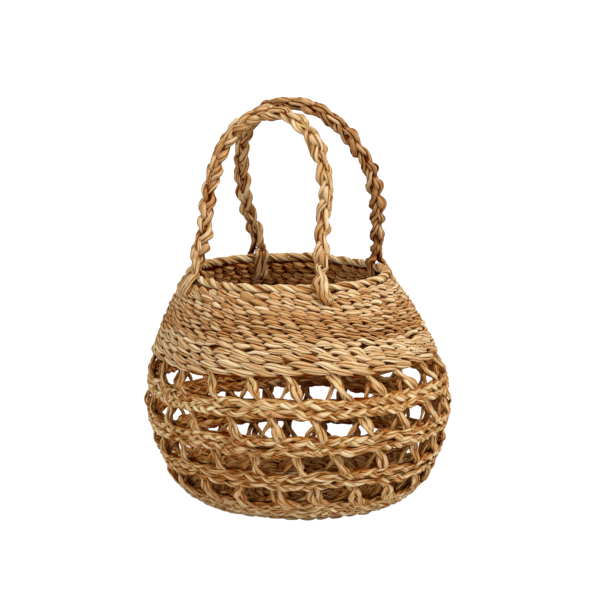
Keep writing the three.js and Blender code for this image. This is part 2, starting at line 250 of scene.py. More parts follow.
class Meridian:
    """Line from the middle of the base out to its edge and up the wall, measured by its length.

    Length 0 is the edge of the base. Its middle is at minus the base's radius.
    """

    WALL_MIDDLE = 6.05
    FLOOR_MIDDLE = 4.3
    THINNING = 50.0
    OVERRUN = 6.0
    WALL_SAMPLES = 4001
    FLOOR_SAMPLES = 200
    CROWDING = 2.5
    DENTS = (Ripple(1.1, 3.0, 1.0, 45.0), Ripple(0.8, 7.0, 0.0, -30.0), Ripple(0.5, 13.0, 2.0, 22.0))
    WAVES = (Ripple(1.0, 2.0, 0.5, 60.0), Ripple(0.7, 5.0, 1.7, -25.0), Ripple(0.4, 11.0, 0.0, 14.0))
    FADE = 30.0
    SWELL = 1.4
    SWELL_START = 16.0
    SWELL_LENGTH = 12.0

    def __init__(self, outline: Outline, lean: Lean) -> None:
        """Tabulates the line, with samples that crowd towards the edge of the base.

        Args:
            outline: Outside of the wall.
            lean: Sideways shift of the wall.
        """
        self.outline = outline
        self.lean = lean
        height = (outline.top + self.OVERRUN) * np.linspace(0.0, 1.0, self.WALL_SAMPLES) ** self.CROWDING
        radius = outline.radius(height)
        steps = np.hypot(np.diff(radius), np.diff(height))
        floor = np.linspace(-outline.foot_radius, 0.0, self.FLOOR_SAMPLES, endpoint=False)
        self._length = np.concatenate((floor, [0.0], np.cumsum(steps)))
        self._radius = np.concatenate((outline.foot_radius + floor, radius))
        self._height = np.concatenate((0.0 * floor, height))
        slopes = (np.gradient(self._radius, self._length), np.gradient(self._height, self._length))
        self._up = unit(np.column_stack(slopes))
        self.end = float(np.interp(outline.top, height, self._length[-height.size :]))

    def _sample(self, length: np.ndarray) -> tuple[np.ndarray, ...]:
        """Radius and height at each length, and both parts of the direction up the line."""
        columns = (self._radius, self._height, self._up[:, 0], self._up[:, 1])
        return tuple(np.interp(length, self._length, column) for column in columns)

    def middle(self, length: np.ndarray) -> np.ndarray:
        """Depth of the middle of the weave, which is thinner on the floor of the basket."""
        share = smooth((length + self.THINNING) / self.THINNING)
        return self.FLOOR_MIDDLE + (self.WALL_MIDDLE - self.FLOOR_MIDDLE) * share

    def level(self, length: np.ndarray) -> np.ndarray:
        """Height above the ground of the middle of the weave."""
        _, height, up_r, _ = self._sample(length)
        return height + self.middle(length) * up_r

    def length_at(self, level: float) -> float:
        """Length along the wall at which the middle of the weave stands at a level."""
        wall = self._length >= 0.0
        return float(np.interp(level, self.level(self._length[wall]), self._length[wall]))

    def _unevenness(self, azimuth: np.ndarray, length: np.ndarray) -> tuple[np.ndarray, np.ndarray]:
        """Dents outwards and waves upwards of a wall made by hand, as sums of slow ripples.

        They fade out at the base and at the rim, where the wall swells towards the rope.

        Args:
            azimuth: Angles round the basket.
            length: Lengths along the line.

        Returns:
            How far the wall is moved outwards, and how far upwards.
        """
        fade = smooth(length / self.FADE) * smooth((self.end - length) / self.FADE)
        dent = sum(ripple.at(azimuth, length) for ripple in self.DENTS)
        wave = sum(ripple.at(azimuth, length) for ripple in self.WAVES)
        swell = self.SWELL * smooth((length - self.end + self.SWELL_START) / self.SWELL_LENGTH)
        return fade * dent + swell, fade * wave

    def place(
        self, azimuth: np.ndarray, length: np.ndarray, out: np.ndarray, up: np.ndarray | float = 0.0
    ) -> np.ndarray:
        """Points of the weave.

        Args:
            azimuth: Angles round the basket.
            length: Lengths along the line.
            out: Distance outwards from the outside of the weave.
            up: Distance on along the line, at its own slope.

        Returns:
            One point for each angle.
        """
        radius, height, up_r, up_z = self._sample(length)
        dent, wave = self._unevenness(azimuth, length)
        out, up = out + dent, up + wave
        reach = radius + out * up_z + up * up_r
        level = height - out * up_r + up * up_z
        points = np.stack((reach * np.cos(azimuth), reach * np.sin(azimuth), level), axis=-1)
        points[..., :2] += self.lean.at(level)
        return points

    def outward(self, azimuth: np.ndarray, length: np.ndarray) -> np.ndarray:
        """Direction that looks out of the weave."""
        _, _, up_r, up_z = self._sample(length)
        return np.stack((up_z * np.cos(azimuth), up_z * np.sin(azimuth), -up_r), axis=-1)


@dataclass(frozen=True)
class Bundle:
    """Leaf strips that lie side by side round a strand, with a crease between neighbours.

    crease is the depth of the creases as a share of the strand, and unevenness how far the widths of
    the strips differ. turn is how far they wind round the strand in a millimetre, and ruffle how far
    each one rises and sinks. tone is how pale they are, and contrast how far one differs from the next.
    """

    strips: int = 3
    crease: float = 0.48
    unevenness: float = 0.5
    turn: float = 0.025
    contrast: float = 0.16
    ruffle: float = 0.22
    tone: float = 0.52

    CORNERS = (0.0, 0.17, 0.5, 0.83)
    CREST = 0.2
    CREASE_SPREAD = 0.4
    TURN_JITTER = Jitter(0.5, 30.0)
    TONE_JITTER = Jitter(0.08, 75.0)
    RUFFLE_SPACING = 9.0
    CONTRAST_SPACING = 42.0

    def outline(self, rng: np.random.Generator) -> tuple[np.ndarray, ...]:
        """Section of the strand.

        Each strip has four points: one in the crease, two beside it and one on the crest.

        Args:
            rng: Source of the random values.

        Returns:
            Angle, reach, crease mask and strip number of each point.
        """
        widths = 1.0 + self.unevenness * rng.uniform(-1.0, 1.0, self.strips)
        edges = np.concatenate(([0.0], np.cumsum(widths))) / widths.sum() * FULL_TURN
        angle = (edges[:-1, None] + np.diff(edges)[:, None] * np.array(self.CORNERS)).ravel()
        depth = self.crease * (1.0 + self.CREASE_SPREAD * rng.uniform(-1.0, 1.0, self.strips))
        beside, crest = 1.0 - self.CREST * depth, 1.0 + self.CREST * depth
        reach = np.stack((1.0 - depth, beside, crest, beside), axis=-1)
        mask = np.tile((1.0, 0.0, 0.0, 0.0), self.strips)
        number = np.repeat(np.arange(self.strips), len(self.CORNERS))
        return angle, reach.ravel(), mask, number


@dataclass(frozen=True)
class Shade:
    """Shade that the neighbours of a strand throw on it.

    core is the middle of the weave beside each station of the strand. cleft is the shade there, which
    is full up to start from the core and gone depth further on. That distance counts along the
    strand's outward direction, or in every direction where radial is set. flank is the shade on the
    strand's own edges. rear is the share of the warmer colour on its back, where light comes only from
    the inside of the basket.
    """

    core: np.ndarray
    cleft: float = 1.0
    flank: float = 0.55
    rear: float = 1.0
    radial: bool = False
    start: float = 0.3
    depth: float = 2.6

    FLANK_REACH = 0.5
    REAR_START = 0.1
    REAR_REACH = 0.5

    def at(self, points: np.ndarray, out: np.ndarray, around: np.ndarray) -> np.ndarray:
        """Shade of each point, from 0 to 1.

        Args:
            points: Grid of points of the strand.
            out: Direction that the flat of the strand looks in at each station.
            around: Angle of each point from that direction.

        Returns:
            One value for each point.
        """
        offset = points - self.core[:, None, :]
        if self.radial:
            beyond = np.linalg.norm(offset, axis=-1)
        else:
            beyond = np.abs(np.sum(offset * out[:, None, :], axis=-1))
        crevice = self.cleft * (1.0 - smooth((beyond - self.start) / self.depth))
        edge = smooth((self.FLANK_REACH - np.abs(np.cos(around))) / self.FLANK_REACH)
        return np.maximum(crevice, self.flank * edge)

    def inside(self, around: np.ndarray) -> np.ndarray:
        """Share of painted inner shade at each point, from 0 to 1, where it looks into the basket."""
        return self.rear * smooth((self.REAR_START - np.cos(around)) / self.REAR_REACH)


@dataclass
class Tube:
    """One swept strand: a grid of points with the values that its straw finish reads."""

    points: np.ndarray
    fibre: np.ndarray
    tone: np.ndarray
    crease: np.ndarray
    painted_shade: np.ndarray
    inside: np.ndarray

    # The shade values are painted shade: one in the clefts and on the edges of a strand, one on its faces
    # that look into the basket.
    VALUES = ("crease", "tone", "painted_shade", "inside")
    FIBRE_RADIUS = 3.0
    FIBRE_SPREAD = 400.0


def sweep(
    path: np.ndarray,
    outward: np.ndarray,
    half_out: np.ndarray,
    half_up: np.ndarray,
    bundle: Bundle,
    rng: np.random.Generator,
    closed: bool = False,
    shade: Shade | None = None,
) -> Tube:
    """Sweeps a bundle of strips along a path.

    A section stands square to the path. Its point at angle b is the path's point, plus half_out times
    the point's reach times cos b along the outward direction, plus half_up times it times sin b across.
    The fibre value is the distance along the strand and a place on a ring round it, moved at random.

    Args:
        path: Points of the strand's middle line.
        outward: Direction that the flat of the strand looks in at each point.
        half_out: Half the thickness at each point.
        half_up: Half the width at each point.
        bundle: Strips of the strand.
        rng: Source of the random values.
        closed: Whether the path ends where it starts.
        shade: Shade that the neighbours throw.

    Returns:
        The strand.
    """
    along = np.gradient(path, axis=0)
    if closed:
        along[0] = along[-1] = path[1] - path[-2]
    tangent = unit(along)
    out = unit(outward - np.sum(outward * tangent, axis=-1, keepdims=True) * tangent)
    across = np.cross(tangent, out)
    travelled = travel(path)
    angle, reach, mask, number = bundle.outline(rng)
    winding = bundle.turn * travelled[-1]
    if closed:
        winding = round(winding / FULL_TURN) * FULL_TURN
    turn = travelled / travelled[-1] * winding
    turn = turn + rng.uniform(0.0, FULL_TURN) + bundle.TURN_JITTER.on(travelled, rng, closed=closed)
    around = angle + turn[:, None]
    lifts = [wander(travelled, bundle.RUFFLE_SPACING, rng, closed) for _ in range(bundle.strips)]
    reach = reach * (1.0 + bundle.ruffle * np.stack(lifts, axis=-1)[:, number])
    offset_out = (half_out[:, None] * reach * np.cos(around))[..., None] * out[:, None, :]
    offset_across = (half_up[:, None] * reach * np.sin(around))[..., None] * across[:, None, :]
    points = path[:, None, :] + offset_out + offset_across
    fibre = np.empty(points.shape)
    fibre[..., 0] = travelled[:, None]
    fibre[..., 1:] = Tube.FIBRE_RADIUS * np.stack((np.cos(angle), np.sin(angle)), axis=-1)
    fibre += rng.uniform(0.0, Tube.FIBRE_SPREAD, 3)
    shades = [wander(travelled, bundle.CONTRAST_SPACING, rng) for _ in range(bundle.strips)]
    tone = bundle.tone + bundle.TONE_JITTER.on(travelled, rng)[:, None]
    tone = tone + bundle.contrast * np.stack(shades, axis=-1)[:, number]
    crease = np.broadcast_to(mask, points.shape[:2]).copy()
    bare = np.zeros(points.shape[:2])
    # Painted shade from the neighbours, and on the faces that look into the basket.
    painted_shade = bare if shade is None else shade.at(points, out, around)
    inside = bare if shade is None else shade.inside(around)
    return Tube(points, fibre, tone, crease, painted_shade, inside)


FILLER_HALF_OUT = 1.1
FILLER_BUNDLE = Bundle(strips=2, crease=0.05, turn=0.0)


def filler(core: np.ndarray, outward: np.ndarray, half_height: float, rng: np.random.Generator) -> Tube:
    """Flat strip in the middle of a dense row, which closes the small gaps between its strands.

    Args:
        core: Closed line through the middle of the weave.
        outward: Direction that looks out of the weave at each point.
        half_height: Half the height of the strip.
        rng: Source of the random values.

    Returns:
        The strip.
    """
    every = slice(None, None, STROKE_STATIONS // 2)
    core, outward = core[every], outward[every]
    flat = np.ones(len(core))
    half_out, half_up = FILLER_HALF_OUT * flat, half_height * flat
    # Full painted shade: the strip shows as the dark depth of the weave through the gaps.
    return sweep(core, outward, half_out, half_up, FILLER_BUNDLE, rng, True, Shade(core))


def spline(controls: np.ndarray, step: float) -> np.ndarray:
    """Smooth line through control rows, sampled at an even step of its first three columns.

    Between rows 1 and 2 of four in a row the line is the cubic of Catmull and Rom.

    Args:
        controls: Rows of x, y, z and any further values.
        step: Distance between samples.

    Returns:
        Rows like the controls.
    """
    samples, fewest = 12, 4
    rows = np.vstack((2.0 * controls[0] - controls[1], controls, 2.0 * controls[-1] - controls[-2]))
    before, start, end, after = rows[:-3, None], rows[1:-2, None], rows[2:-1, None], rows[3:, None]
    t = np.linspace(0.0, 1.0, samples, endpoint=False)[None, :, None]
    square = 2.0 * before - 5.0 * start + 4.0 * end - after
    cube = 3.0 * (start - end) + after - before
    curve = start + 0.5 * t * (end - before + t * (square + t * cube))
    dense = np.vstack((curve.reshape(-1, controls.shape[1]), controls[-1]))
    lengths = travel(dense[:, :3])
    places = np.linspace(0.0, lengths[-1], max(fewest, round(lengths[-1] / step)))
    return np.column_stack([np.interp(places, lengths, column) for column in dense.T])


class Weave:
    """Strands gathered into one mesh object."""

    PRESSED = 0.6
    SHARP_CREASE = 0.5

    def __init__(self, name: str) -> None:
        """Starts an empty piece.

        Args:
            name: Name of the piece.
        """
        self.name = name
        self.tubes: list[Tube] = []

    def add(self, *tubes: Tube) -> None:
        """Adds strands to the piece."""
        self.tubes.extend(tubes)

    def _gather(self, name: str) -> np.ndarray:
        """One of the values of all strands, point after point."""
        return np.concatenate([getattr(tube, name).ravel() for tube in self.tubes])

    def _faces(self) -> np.ndarray:
        """Joins neighbouring points into faces that look out of their strand.

        Returns:
            Numbers of the four corners of each face.
        """
        faces, first = [], 0
        for tube in self.tubes:
            stations, corners = tube.tone.shape
            grid = first + np.arange(stations * corners).reshape(stations, corners)
            beside = np.roll(grid, -1, axis=1)
            faces.append(np.stack((grid[:-1], beside[:-1], beside[1:], grid[1:]), axis=-1).reshape(-1, 4))
            first += grid.size
        return np.concatenate(faces)

    def build(self, material: bpy.types.Material) -> bpy.types.Object:
        """Makes the object.

        Points under the ground are eased up to it, as half of z plus the root of z squared plus
        PRESSED squared, because the weight of the basket presses its strands flat.

        Args:
            material: Straw finish of the piece.

        Returns:
            The mesh object, at the origin.
        """
        faces = self._faces()
        points = self._gather("points").reshape(-1, 3)
        points[:, 2] = 0.5 * (points[:, 2] + np.hypot(points[:, 2], self.PRESSED))
        mesh = bpy.data.meshes.new(self.name)
        mesh.vertices.add(len(points))
        mesh.vertices.foreach_set("co", (points * MM).ravel().astype(np.float32))
        mesh.loops.add(faces.size)
        mesh.loops.foreach_set("vertex_index", faces.ravel().astype(np.int32))
        mesh.polygons.add(len(faces))
        mesh.polygons.foreach_set("loop_start", np.arange(0, faces.size, 4, dtype=np.int32))
        mesh.update(calc_edges=True)
        mesh.shade_smooth()
        for name in Tube.VALUES:
            values = self._gather(name).astype(np.float32)
            mesh.attributes.new(name, "FLOAT", "POINT").data.foreach_set("value", values)
        fibre = self._gather("fibre").astype(np.float32)
        mesh.attributes.new("fibre", "FLOAT_VECTOR", "POINT").data.foreach_set("vector", fibre)
        ends = np.empty(2 * len(mesh.edges), dtype=np.int32)
        mesh.edges.foreach_get("vertices", ends)
        sharp = self._gather("crease")[ends.reshape(-1, 2)].min(axis=1) > self.SHARP_CREASE
        mesh.attributes.new("sharp_edge", "BOOLEAN", "EDGE").data.foreach_set("value", sharp)
        mesh.materials.append(material)
        piece = bpy.data.objects.new(self.name, mesh)
        bpy.context.scene.collection.objects.link(piece)
        LOG.info("%s: %d strands, %d triangles", self.name, len(self.tubes), 2 * len(faces))
        return piece


@dataclass(frozen=True)
class TwinedRow:
    """One round of two strands that twist past each other between the stakes.

    length and pitch are the middle and the height of the row on the meridian, and half_twists is how
    many half turns the strands make on their way round. swing and climb are how far they move in and
    out and up and down, and fill is half their width as a share of the pitch.
    """

    length: float
    pitch: float
    half_twists: int = 2 * STAKE_PAIRS
    swing: float = 3.7
    climb: float = 1.4
    thickness: float = 2.3
    fill: float = 0.55
    phase: float = 0.0
    unrest: float = 0.5
    bundle: Bundle = Bundle()

    UNREST_SPACING = 0.35
    FLATTENING = 1.5
    BULGE = 1.4
    THINNEST = 0.85
    NARROWEST = 0.5
    FILLER_SHARE = 0.72
    STROKE_JITTER = Jitter(0.5, 0.8)
    PACE_JITTER = Jitter(0.6, 5.0)
    PATH_JITTER = Jitter(0.7, 0.7)
    WIDTH_JITTER = Jitter(0.22, 0.8)

    def strands(
        self,
        meridian: Meridian,
        rng: np.random.Generator,
        lift: Callable[[np.ndarray], np.ndarray] | None = None,
    ) -> list[Tube]:
        """Builds the two strands, and the filler between them.

        With turn p the strand lies swing times cos p, flattened by a tanh, from the middle of the
        weave, and climb times sin p below its row. It bulges out a little where it crosses the other
        strand, which is half a turn apart.

        Args:
            meridian: Line that the weave follows.
            rng: Source of the random values.
            lift: How far the row is pushed up at an azimuth.

        Returns:
            Both strands and the filler.
        """
        ring = Round(self.half_twists, rng)
        azimuth = ring.azimuth
        length = self.length + self.unrest * wander(azimuth, self.UNREST_SPACING, rng, closed=True)
        if lift is not None:
            length = length + lift(azimuth)
        turn = self.half_twists / 2.0 * (azimuth - FIRST_CROSSING - HALF_PITCH / 2.0) + self.phase
        turn = turn + ring.waver(self.STROKE_JITTER)
        turn = turn + ring.waver(self.PACE_JITTER)
        middle = meridian.middle(length)
        slim = middle / Meridian.WALL_MIDDLE
        core = meridian.place(azimuth, length, -middle)
        outward = meridian.outward(azimuth, length)
        tubes = []
        for opposite in (0.0, math.pi):
            beat = turn + opposite
            shown = np.abs(np.cos(beat))
            front = np.tanh(self.FLATTENING * np.cos(beat)) / math.tanh(self.FLATTENING)
            bulge = self.BULGE * np.sin(beat) ** 4 + ring.waver(self.PATH_JITTER)
            out = slim * (self.swing * front + bulge) - middle
            up = -self.climb * np.sin(beat) + ring.waver(self.PATH_JITTER)
            path = meridian.place(azimuth, length, out, up)
            swell = self.NARROWEST + (1.0 - self.NARROWEST) * shown
            half_up = self.fill * self.pitch * swell * (1.0 + ring.waver(self.WIDTH_JITTER))
            half_out = slim * self.thickness * (self.THINNEST + (1.0 - self.THINNEST) * shown)
            tubes.append(sweep(path, outward, half_out, half_up, self.bundle, rng, True, Shade(core)))
        tubes.append(filler(core, outward, self.FILLER_SHARE * self.pitch, rng))
        return tubes


@dataclass(frozen=True)
class LooseRow:
    """One round of three loose strands that are plaited on one face of the wall.

    depth is how far the middle of the row lies inside the outline, and turns how often each strand
    comes up on its way round. swing and through are how far the strands move up and down and in and
    out, and unrest is how far the whole row wanders up and down.
    """

    length: float
    depth: float
    turns: int
    through: float = 1.2
    swing: float = 3.0
    half_out: float = 1.7
    half_up: float = 3.1
    unrest: float = 1.1
    filled: bool = False
    bundle: Bundle = Bundle()

    # Painted shade in the clefts of the row.
    CLEFT_SHADE = 0.45
    NARROWEST = 0.5
    FILLER_HALF_HEIGHT = 4.6
    UNREST_SPACING = 1.7
    STROKE_JITTER = Jitter(0.8, 1.1)
    PACE_JITTER = Jitter(1.2, 3.0)
    OUT_JITTER = Jitter(0.3, 0.8)
    SWING_JITTER = Jitter(0.3, 1.5)
    UP_JITTER = Jitter(1.4, 0.9)
    WIDTH_JITTER = Jitter(0.32, 0.8)

    def strands(self, meridian: Meridian, rng: np.random.Generator) -> list[Tube]:
        """Builds the three strands, and their filler where the row has one.

        With turn p a strand lies swing times a pointed wave, sin p - sin(3p) / 9, upwards from the
        middle of the row and through times sin 2p outwards. The strands are a third of a turn apart.

        Args:
            meridian: Line that the weave follows.
            rng: Source of the random values.

        Returns:
            The strands.
        """
        ring = Round(2 * self.turns, rng)
        azimuth = ring.azimuth
        length = self.length + ring.waver(Jitter(self.unrest, self.UNREST_SPACING))
        middle = meridian.middle(length)
        slim = middle / Meridian.WALL_MIDDLE
        turn = self.turns * azimuth + ring.waver(self.STROKE_JITTER) + ring.waver(self.PACE_JITTER)
        shade = Shade(meridian.place(azimuth, length, -slim * self.depth), cleft=self.CLEFT_SHADE)
        outward = meridian.outward(azimuth, length)
        tubes = []
        for strand in range(3):
            beat = turn + FULL_TURN * strand / 3.0
            out = slim * (self.through * np.sin(2.0 * beat) + ring.waver(self.OUT_JITTER) - self.depth)
            wave = np.sin(beat) - np.sin(3.0 * beat) / 9.0
            up = self.swing * (1.0 + ring.waver(self.SWING_JITTER)) * wave + ring.waver(self.UP_JITTER)
            path = meridian.place(azimuth, length, out, up)
            swell = self.NARROWEST + (1.0 - self.NARROWEST) * np.abs(np.cos(beat))
            swell = swell * (1.0 + ring.waver(self.WIDTH_JITTER))
            half_out, half_up = slim * self.half_out * swell, self.half_up * swell
            tubes.append(sweep(path, outward, half_out, half_up, self.bundle, rng, True, shade))
        if self.filled:
            core = meridian.place(azimuth, length, -middle)
            tubes.append(filler(core, outward, self.FILLER_HALF_HEIGHT, rng))
        return tubes


@dataclass(frozen=True)
class LeafTip:
    """Short tip of a leaf that sticks out of the weave and curls away.

    A size that has two values lies between them, at random for each tip.
    """

    lengths: tuple[float, float] = (6.0, 12.0)
    curls: tuple[float, float] = (1.5, 4.0)
    sway: float = 4.0
    half_thickness: float = 0.35
    half_widths: tuple[float, float] = (0.6, 1.1)
    taper: float = 0.85
    stations: int = 9
    bundle: Bundle = Bundle(strips=2, crease=0.2, turn=0.05)

    def strand(
        self, root: np.ndarray, along: np.ndarray, outward: np.ndarray, rng: np.random.Generator
    ) -> Tube:
        """Builds one tip, a strip that narrows to a point.

        With share t of its length it runs t times along and t squared outwards and sideways.

        Args:
            root: Point inside the weave that it starts from.
            along: Direction of the strand that it leaves.
            outward: Direction out of the weave.
            rng: Source of the random values.

        Returns:
            The tip.
        """
        share = np.linspace(0.0, 1.0, self.stations)[:, None]
        length, curl = rng.uniform(*self.lengths), rng.uniform(*self.curls)
        side = np.cross(along, outward) * rng.uniform(-self.sway, self.sway)
        path = root + rng.choice((-1.0, 1.0)) * length * share * along + share**2 * (curl * outward + side)
        taper = 1.0 - self.taper * share[:, 0]
        facing = np.broadcast_to(outward, path.shape)
        half_width = rng.uniform(*self.half_widths)
        return sweep(path, facing, self.half_thickness * taper, half_width * taper, self.bundle, rng)


@dataclass(frozen=True)
class Levels:
    """Heights of the open work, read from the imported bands."""

    foot_top: float
    shoulder_bottom: float
    bands: tuple[tuple[float, float], ...]

    @property
    def step(self) -> float:
        """Distance from one open band to the next."""
        return self.bands[1][0] - self.bands[0][0]

    @property
    def gap(self) -> float:
        """Height of an open band."""
        return self.bands[0][0] - self.foot_top

    @property
    def first_middle(self) -> float:
        """Middle of the lowest open band."""
        return (self.foot_top + self.bands[0][0]) / 2.0

    def steps(self, level: np.ndarray) -> np.ndarray:
        """Open bands climbed at a level, from half a band below the first to half a band above the last."""
        return np.clip((level - self.first_middle) / self.step, -0.5, len(self.bands) + 0.5)

    def openness(self, level: np.ndarray) -> np.ndarray:
        """1 in the middle of an open band and 0 in the middle of a woven one."""
        return 0.5 + 0.5 * np.cos(FULL_TURN * (level - self.first_middle) / self.step)


@dataclass(frozen=True)
class Stake:
    """One upright strand, which climbs sideways by half a pitch from one open band to the next.

    side is the way it turns round the basket on its way up, 1 or -1, and depth how far it lies inside
    the outline. Where it has two cords, they wind round each other, winding radians for each
    millimetre. steepness is how much of its turn it saves for the woven bands, and crossing moves its
    crossings. overlap is how far it comes out where it passes over the edge of the woven rows below.
    tuck is how far it runs inwards within the base, and headroom how far under the rim it ends.
    """

    pair: int
    side: int
    depth: float
    cords: int
    half_width: float
    half_thickness: float
    steepness: float
    overlap: float = 0.0
    crossing: float = 0.1
    winding: float = 0.14
    tuck: float = 42.0
    headroom: float = 6.0
    station: float = 1.6

    # The lap is the stretch where a stake lies on the foot's upper edge and its cords lie side by side.
    LAP_REACHES = (7.0, 13.0)
    LAP_RISE = 7.0
    LAP_TOP = 15.0
    LAP_FALL = 9.0
    LAP_SPACING = 0.3
    LAP_SWELL = 1.3
    SPLAYS = (0.2, 0.6)
    SPLAY_TOP = 4.0
    SPLAY_LENGTH = 12.0
    WOVEN_DEPTH = 0.35
    EDGE_POWER = 3
    # Painted shade in the clefts of the weave and on the edges of a stake.
    CLEFT_SHADE = 0.2
    FLANK_SHADE = 0.4
    NARROWEST = 0.5
    SWELL_POWER = 0.6
    CORD_SPACING = 0.9
    WINDING_RISE = 0.35
    AZIMUTH_JITTER = Jitter(0.02, 34.0)
    DEPTH_JITTER = Jitter(0.3, 20.0)
    SPACING_JITTER = Jitter(0.3, 11.0)
    ASIDE_JITTER = Jitter(1.0, 9.0)
    RISE_JITTER = Jitter(0.6, 9.0)
    WIDTH_JITTER = Jitter(0.24, 7.0)

    def _bundle(self) -> Bundle:
        """Strips of one cord, fewer where the stake has two."""
        return Bundle(strips=4 - self.cords, crease=0.3, turn=0.12, unevenness=0.6, contrast=0.1, ruffle=0.34)

    def strands(self, meridian: Meridian, levels: Levels, rng: np.random.Generator) -> list[Tube]:
        """Builds the cords of the stake, from the floor of the basket to just under the rim.

        With n open bands climbed the stake has turned by n half pitches, less steepness times
        sin(2 pi n) over 2 pi, which makes it steeper or flatter in the open bands.

        Args:
            meridian: Line that the weave follows.
            levels: Heights of the open work.
            rng: Source of the random values.

        Returns:
            One strand for each cord.
        """
        length = np.arange(-self.tuck, meridian.end - self.headroom, self.station)
        level = meridian.level(length)
        above_foot = level - levels.foot_top
        lap = smooth((above_foot + rng.uniform(*self.LAP_REACHES)) / self.LAP_RISE)
        lap = lap * smooth((self.LAP_TOP - above_foot) / self.LAP_FALL) * (length > 0.0)
        splay = rng.uniform(*self.SPLAYS) * smooth((self.SPLAY_TOP - above_foot) / self.SPLAY_LENGTH)
        steps = np.where(length < 0.0, -0.5, levels.steps(level)) - splay
        bend = self.steepness * np.sin(FULL_TURN * steps) / FULL_TURN
        turn = HALF_PITCH * (2 * self.pair + self.side * (steps - self.crossing - bend))
        azimuth = FIRST_CROSSING + turn + self.AZIMUTH_JITTER.on(length, rng)
        in_work = (level > levels.first_middle - levels.step / 2.0) * (steps < len(levels.bands) + 0.5)
        open_share = levels.openness(level) * in_work
        middle = meridian.middle(length)
        slim = middle / Meridian.WALL_MIDDLE
        spread = self.WOVEN_DEPTH + (1.0 - self.WOVEN_DEPTH) * open_share
        depth = Meridian.WALL_MIDDLE + (self.depth - Meridian.WALL_MIDDLE) * spread
        edge = in_work * levels.openness(level + levels.gap / 2.0) ** self.EDGE_POWER
        depth = depth - self.overlap * np.maximum(edge, lap)
        depth = depth * slim + self.DEPTH_JITTER.on(length, rng)
        radius = np.hypot(*meridian.place(azimuth, length, -depth)[:, :2].T)
        shade = Shade(meridian.place(azimuth, length, -middle), cleft=self.CLEFT_SHADE, flank=self.FLANK_SHADE)
        outward = meridian.outward(azimuth, length)
        spin = rng.uniform(0.0, FULL_TURN) + self.winding * length
        beside = (1.0 - lap) * np.cos(spin) + lap
        tubes = []
        for cord in range(self.cords):
            apart = (self.cords - 1) * (cord - 0.5) * 2.0 * self.half_width
            spacing = self.CORD_SPACING + self.SPACING_JITTER.on(length, rng) + self.LAP_SPACING * lap
            aside = apart * beside * spacing + self.ASIDE_JITTER.on(length, rng)
            rise = self.WINDING_RISE * apart * (1.0 - lap) * np.sin(spin) + self.RISE_JITTER.on(length, rng)
            path = meridian.place(azimuth + aside / radius, length, rise - depth)
            fullness = np.maximum(open_share**self.SWELL_POWER, self.LAP_SWELL * lap)
            swell = self.NARROWEST + (1.0 - self.NARROWEST) * fullness
            swell = swell * (1.0 + self.WIDTH_JITTER.on(length, rng))
            half_out, half_up = self.half_thickness * swell * slim, self.half_width * swell
            tubes.append(sweep(path, outward, half_out, half_up, self._bundle(), rng, shade=shade))
        return tubes


@dataclass(frozen=True)
class Rim:
    """Two-ply rope that closes the mouth."""

    centre: tuple[float, float, float]
    radius: float
    half_twists: int = 30
    helix: float = 2.3
    ply_out: float = 2.4
    ply_across: float = 3.4
    sag: float = 0.6
    bundle: Bundle = Bundle(crease=0.38, turn=0.03, tone=0.6)

    STATIONS = 12
    HEIGHT_JITTER = Jitter(0.7, 0.3)
    TURN_JITTER = Jitter(0.45, 1.0)
    OUT_JITTER = Jitter(0.14, 0.8)
    ACROSS_JITTER = Jitter(0.16, 0.8)

    def strands(self, rng: np.random.Generator) -> list[Tube]:
        """Builds the two plies, each a helix round the ring of the rim.

        With turn p a ply lies helix times cos p outwards and helix times sin p below the ring.

        Args:
            rng: Source of the random values.

        Returns:
            Both plies.
        """
        azimuth = RIM_SEAM + np.linspace(0.0, FULL_TURN, self.half_twists * self.STATIONS + 1)
        stroke = FULL_TURN / self.half_twists
        radial = np.stack((np.cos(azimuth), np.sin(azimuth), 0.0 * azimuth), axis=-1)
        height = self.HEIGHT_JITTER.on(azimuth, rng, closed=True) - self.sag
        ring = np.array(self.centre) + self.radius * radial + height[:, None] * UPRIGHT
        turn = self.half_twists / 2.0 * azimuth + self.TURN_JITTER.on(azimuth, rng, stroke, closed=True)
        shade = Shade(ring, cleft=0.4, flank=0.3, rear=0.4)
        tubes = []
        for opposite in (0.0, math.pi):
            beat = (turn + opposite)[:, None]
            away = np.cos(beat) * radial - np.sin(beat) * UPRIGHT
            half_out = self.ply_out * (1.0 + self.OUT_JITTER.on(azimuth, rng, stroke, closed=True))
            half_across = self.ply_across * (1.0 + self.ACROSS_JITTER.on(azimuth, rng, stroke, closed=True))
            path = ring + self.helix * away
            tubes.append(sweep(path, away, half_out, half_across, self.bundle, rng, True, shade))
        return tubes


@dataclass(frozen=True)
class Leg:
    """One end of a handle's strands, over the rim and down the wall.

    side is 1 outside and -1 inside. top and bottom are places along the rim, from the middle of the
    foot, and drop is how far the end reaches down the wall.
    """

    side: int
    top: float
    bottom: float
    drop: float
    half_width: float


